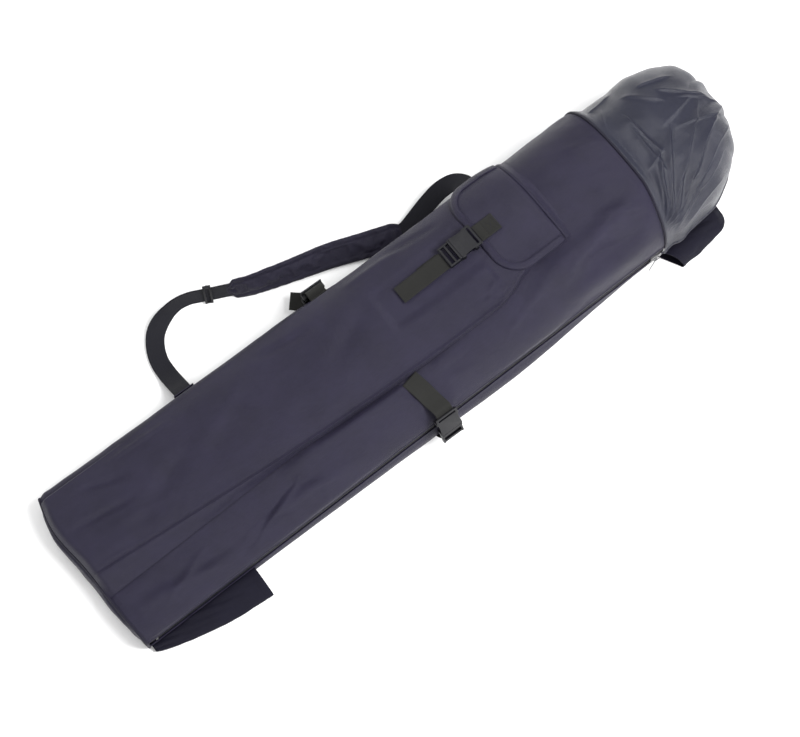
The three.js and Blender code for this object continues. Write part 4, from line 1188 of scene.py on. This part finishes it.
def hood_folds(p, reach):
    """Pleats that fan out from the near end of the mouth seam, and gathers along the hem."""
    x, y = p[..., 0], p[..., 1]
    folds = noise(x / 46, y / 52, 94) * 2.2 + noise(x / 17, y / 21, 95) * 0.6 - 3
    warp_x = x + noise(x / 44, y / 44, 91) * 2.5
    warp_y = y + noise(x / 38, y / 46, 92) * 2.5
    folds = folds + sum(pleat(warp_x, warp_y, *fold) for fold in HOOD_PLEATS)
    from_x, from_y = x - FAN_CORNER[0], y - FAN_CORNER[1]
    away = np.hypot(from_x, from_y)
    fan = np.arctan2(from_y, from_x + (MOUTH["height"] - p[..., 2]) * 0.3)
    near = smooth(1.5, 0.9, fan) * smooth(150, 40, away) * smooth(6, 26, away)
    comb = np.mod(fan * 4.2 + noise(x / 60, y / 60, 93) * 0.3, 1)
    folds = folds + smooth(0, 0.12, comb) * (1 - comb) ** 1.5 * 4.5 * near
    turn = np.arctan2(y - 10, x - 430) * 22 + noise(y / 30, x / 40, 96) * 2.4
    folds = folds + (np.abs(np.sin(turn / 2)) - 0.5) * 4.0 * smooth(0.62, 0.96, reach)
    flank = 6 * smooth(60, 110, y) * smooth(0.55, 0.25, reach)
    return (folds - flank) * smooth(0.0, 0.1, reach)


def hood():
    reach = np.sin(np.linspace(0, 0.5 * math.pi, 210))[:, None] * 0.9993
    skirt = np.linspace(0, HOOD_SKIRT, 9)[:-1]
    arc = np.concatenate([skirt, np.linspace(HOOD_SKIRT, 1 - HOOD_SKIRT, 320), 1 - skirt[::-1]])[None]
    ground = hood_point(reach, arc)
    away = smooth_rows(unit(ground - hood_point(reach, arc, 2.0) + 1e-6))
    lift = (hood_folds(ground, reach) - 1.2) * smooth(0, 0.045, reach)
    points = ground + away * lift[..., None]
    x, y = points[..., 0], points[..., 1]
    points[..., 0] = np.maximum(x, MOUTH["x"] + 0.5 - mouth_draw(y))
    at_hem = smooth(0.06, 0.0, np.minimum(arc, 1 - arc))
    points[..., 2] += at_hem * noise(points[..., 0] / 22, y / 30, 97) * 2.5
    piece = grid_piece("hood_cloth", points, 0.9, edge=0)
    close_tip(piece, len(reach), arc.shape[1])
    dress(piece, "hood", "hood_fabric", "hood")
    hood_hem(points)


def smooth_rows(v):
    """Evens out the directions near the hood's tip, where its outline is nearly a point."""
    for _ in range(6):
        v[1:-1] = (v[:-2] + 2 * v[1:-1] + v[2:]) / 4
    return unit(v)


def close_tip(piece, rows, columns):
    """Fills the slit left at the tip between the near and the far half of the last row."""
    work = bmesh.new()
    work.from_mesh(piece.data)
    work.verts.ensure_lookup_table()
    row = (rows - 1) * columns
    ring = [work.verts[row + j] for j in range(columns)]
    half = columns // 2
    for j in range(half - 1):
        four = [ring[j], ring[j + 1], ring[columns - 2 - j], ring[columns - 1 - j]]
        if len({v.index for v in four}) == 4:
            work.faces.new(four)
    bmesh.ops.recalc_face_normals(work, faces=work.faces)
    work.to_mesh(piece.data)
    work.free()


def hood_hem(points):
    """The elastic hem: a gathered roll along the hood's lower edge."""
    path = np.concatenate([points[:, 0], points[::-1, -1]])
    apart = np.linalg.norm(np.diff(path, axis=0), axis=1) > 0.6
    path = even(path[np.concatenate([[True], apart])], 260)
    path[:, 2] -= 1.2 - np.sin(np.arange(len(path)) * 1.9) * 0.35
    across = np.tile([0, 0, 1.0], (len(path), 1))
    dress(swept("hood_hem", path, across, round_section(2.1, 8)), "hood", "hood_fabric", "hood_elastic")


# ---- shoulder strap ----------------------------------------------------------------------------
STRAP_UPPER = [
    (217, 136.5, 71, 0), (217, 140.5, 69, 0), (217, 150, 64, 0), (208, 165, 52, 6), (188, 173, 36, 12),
    (160, 171, 23, 14), (130, 164, 15.5, 14), (109.6, 159, 12.6, 14), (96, 158.6, 12.6, 15),
]
STRAP_PAD = [
    (100, 157.6, 12.4, 15), (40, 176.5, 15.5, 27), (-16, 195, 18.5, 36), (-80, 211, 21.2, 51),
    (-150, 230.5, 23.5, 62),
]
STRAP_LOWER = [
    (-152, 231.2, 23, 63), (-163, 237.4, 20.6, 67), (-176, 244, 19.3, 69), (-196, 253.2, 19.2, 69),
    (-216, 262.4, 19.2, 69), (-236, 271.1, 19, 69), (-254, 275, 17, 66), (-272, 274, 14.5, 58),
    (-293, 268.5, 10, 35), (-309, 259, 5, 12), (-322, 241, 4, 5), (-330, 219, 4, 3), (-332, 195, 7, 0),
    (-332, 172, 18, 0), (-332, 155, 31, 0), (-332, 145.6, 37.5, 0), (-332, 142.8, 39.4, 0),
]


def route_frames(route, per_span):
    """Centre, across and up along a strap; a lean of 0 lays it flat and 90 stands it on edge."""
    centre = curve_through([p[:3] for p in route], per_span)
    k = np.linspace(0, len(route) - 1, len(centre))
    lean = np.radians(interpolate(k, range(len(route)), [[p[3]] for p in route]))
    tangent = tangents(centre)
    level = unit(np.cross(tangent, [0, 0, 1.0]))
    upright = np.cross(level, tangent)
    across = level * np.cos(lean) + upright * np.sin(lean)
    return centre, across, np.cross(tangent, across)


def strap_ribbon(name, node, route):
    centre, across, _ = route_frames(route, 10)
    piece = swept(name, centre, across, web_section())
    dress(piece, "shoulder_strap", "strap_webbing", node)


def pad_width(s):
    """Half the pad's width: blunt at the top and drawn to a point over the lower webbing."""
    start = smooth(0, 0.05, s) ** 0.5
    return PAD_WIDTH / 2 * lerp(0.72, 1, start) * lerp(1, 0.36, smooth(0.86, 1.0, s))


def pad_mesh():
    """Two layers of cloth joined along their edges, a little flatter than the finished pad."""
    route = [*STRAP_PAD, (-164, 238, 20.8, 67), (-180, 246, 19.4, 69)]
    centre, across, up = route_frames(route, 26)
    s = np.linspace(0, 1, len(centre))
    half = pad_width(s)[:, None, None]
    turn = np.concatenate([np.linspace(-1, 1, 19), np.linspace(1, -1, 19)[1:-1]])
    face = np.concatenate([np.ones(19), -np.ones(17)])
    channel = 1 - 0.75 * bell(np.abs(turn), PAD_CHANNEL, 0.05)
    height = face * (1 - np.abs(turn) ** 3) ** 0.5 * PAD_THICK * 0.3 * channel
    flat = lerp(1, 0.35, smooth(0.9, 1, s)) * lerp(0.5, 1, smooth(0, 0.04, s))
    points = centre[:, None] + across[:, None] * turn[None, :, None] * half
    points = points + up[:, None] * (height[None] * flat[:, None])[..., None]
    sewn = (np.abs(turn) > 0.9) | (np.abs(np.abs(turn) - PAD_CHANNEL) < 0.01)
    held = np.tile(sewn, (len(points), 1))
    held[:2] = held[-2:] = True
    return tube("shoulder_pad_cloth", points), np.flatnonzero(held).tolist()


# The padding's push, the cloth's stiffness and how much it is cut too full for its seams.
PUFF = {
    "use_pressure": True,
    "uniform_pressure_force": 6.0,
    "vertex_group_mass": "seams",
    "tension_stiffness": 18,
    "bending_stiffness": 2.0,
    "shrink_min": -0.05,
    "quality": 6,
}
PUFF_FRAMES = 18
PUFF_LIMIT = 2.5


def inflate(piece, held):
    """Blows the two layers apart by cloth simulation, with the seams held."""
    group = piece.vertex_groups.new(name="seams")
    group.add(held, 1.0, "REPLACE")
    rest = np.array([v.co for v in piece.data.vertices])
    cloth = modify(piece, "CLOTH")
    cloth.settings.effector_weights.gravity = 0
    for key, value in PUFF.items():
        setattr(cloth.settings, key, value)
    scene = bpy.context.scene
    for step in range(PUFF_FRAMES):
        scene.frame_set(step + 1)
    evaluated = piece.evaluated_get(bpy.context.evaluated_depsgraph_get())
    shift = np.array([v.co for v in evaluated.data.vertices]) - rest
    piece.modifiers.remove(cloth)
    scene.frame_set(1)
    far = np.linalg.norm(shift, axis=1, keepdims=True)
    shift = shift * np.minimum(1, PUFF_LIMIT * METRE / np.maximum(far, 1e-9))
    piece.data.vertices.foreach_set("co", (rest + shift).astype(np.float32).ravel())
    piece.data.update()


def shoulder_strap():
    strap_ribbon("strap_web_upper", "strap_webbing_upper", STRAP_UPPER)
    strap_ribbon("strap_web_lower", "strap_webbing_lower", STRAP_LOWER)
    pad, held = pad_mesh()
    inflate(pad, held)
    modify(pad, "SUBSURF", levels=1, render_levels=1)
    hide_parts("shoulder_pad")
    dress(pad, "shoulder_strap", "pad_fabric")


# ---- studio ------------------------------------------------------------------------------------
# Azimuth and elevation in degrees, distance and target in metres.
VIEW = (-37.2, 72, 3.0, (-0.049, -0.032, 0.06))
LENS = 88.3
# Azimuth, elevation, distance, size and power.
LAMPS = {
    "key": (42, 60, 3.4, 1.6, 110),
    "rim": (34, 47, 3.4, 0.8, 55),
    "back": (-160, 60, 3.6, 2.4, 30),
}
WORLD_STRENGTH = 0.85
# The floor's half side and its height.
FLOOR = (12000.0, -0.2)


def look_from(name, data, azimuth, elevation, distance, target):
    """Places a camera or a lamp where it looks at the target."""
    a, e = math.radians(azimuth), math.radians(elevation)
    back = Vector((math.sin(a) * math.cos(e), -math.cos(a) * math.cos(e), math.sin(e)))
    thing = bpy.data.objects.new(name, data)
    thing.location = Vector(target) + back * distance
    thing.rotation_euler = (-back).to_track_quat("-Z", "Y").to_euler()
    bpy.context.scene.collection.objects.link(thing)
    return thing


def camera():
    data = bpy.data.cameras.new("camera")
    data.lens = LENS
    data.sensor_width = 36
    bpy.context.scene.camera = look_from("camera", data, *VIEW)


def lamp(name, azimuth, elevation, distance, size, power):
    data = bpy.data.lights.new(name, "AREA")
    data.energy = power
    data.shape = "DISK"
    data.size = size
    look_from(name, data, azimuth, elevation, distance, (0, 0, 0.05))


def floor():
    side, z = FLOOR
    corners = [(-side, -side, z), (side, -side, z), (side, side, z), (-side, side, z)]
    piece = mesh_piece("floor", corners, [(0, 1, 2, 3)])
    paper = Nodes("floor_paper", (0.93, 0.93, 0.93), 0.9)
    grain = paper.noise(paper.place("Object"), 30.0, 3.0)
    paper.tint(grain, 0.99, 1.01)
    piece.data.materials.append(paper.material)


def studio():
    scene = bpy.context.scene
    scene.world = bpy.data.worlds.new("studio")
    scene.world.use_nodes = True
    background = scene.world.node_tree.nodes["Background"]
    background.inputs["Color"].default_value = (1, 1, 1, 1)
    background.inputs["Strength"].default_value = WORLD_STRENGTH
    for name, settings in LAMPS.items():
        lamp(name, *settings)
    floor()
    scene.view_settings.view_transform = "Standard"
    scene.view_settings.look = "None"


camera()
studio()
kept_nodes()
front_cloth()
back_cloth()
base_end()
seams()
pocket()
flap()
pocket_webbing()
side_straps()
zip_fastener()
pole_holders()
hood()
shoulder_strap()
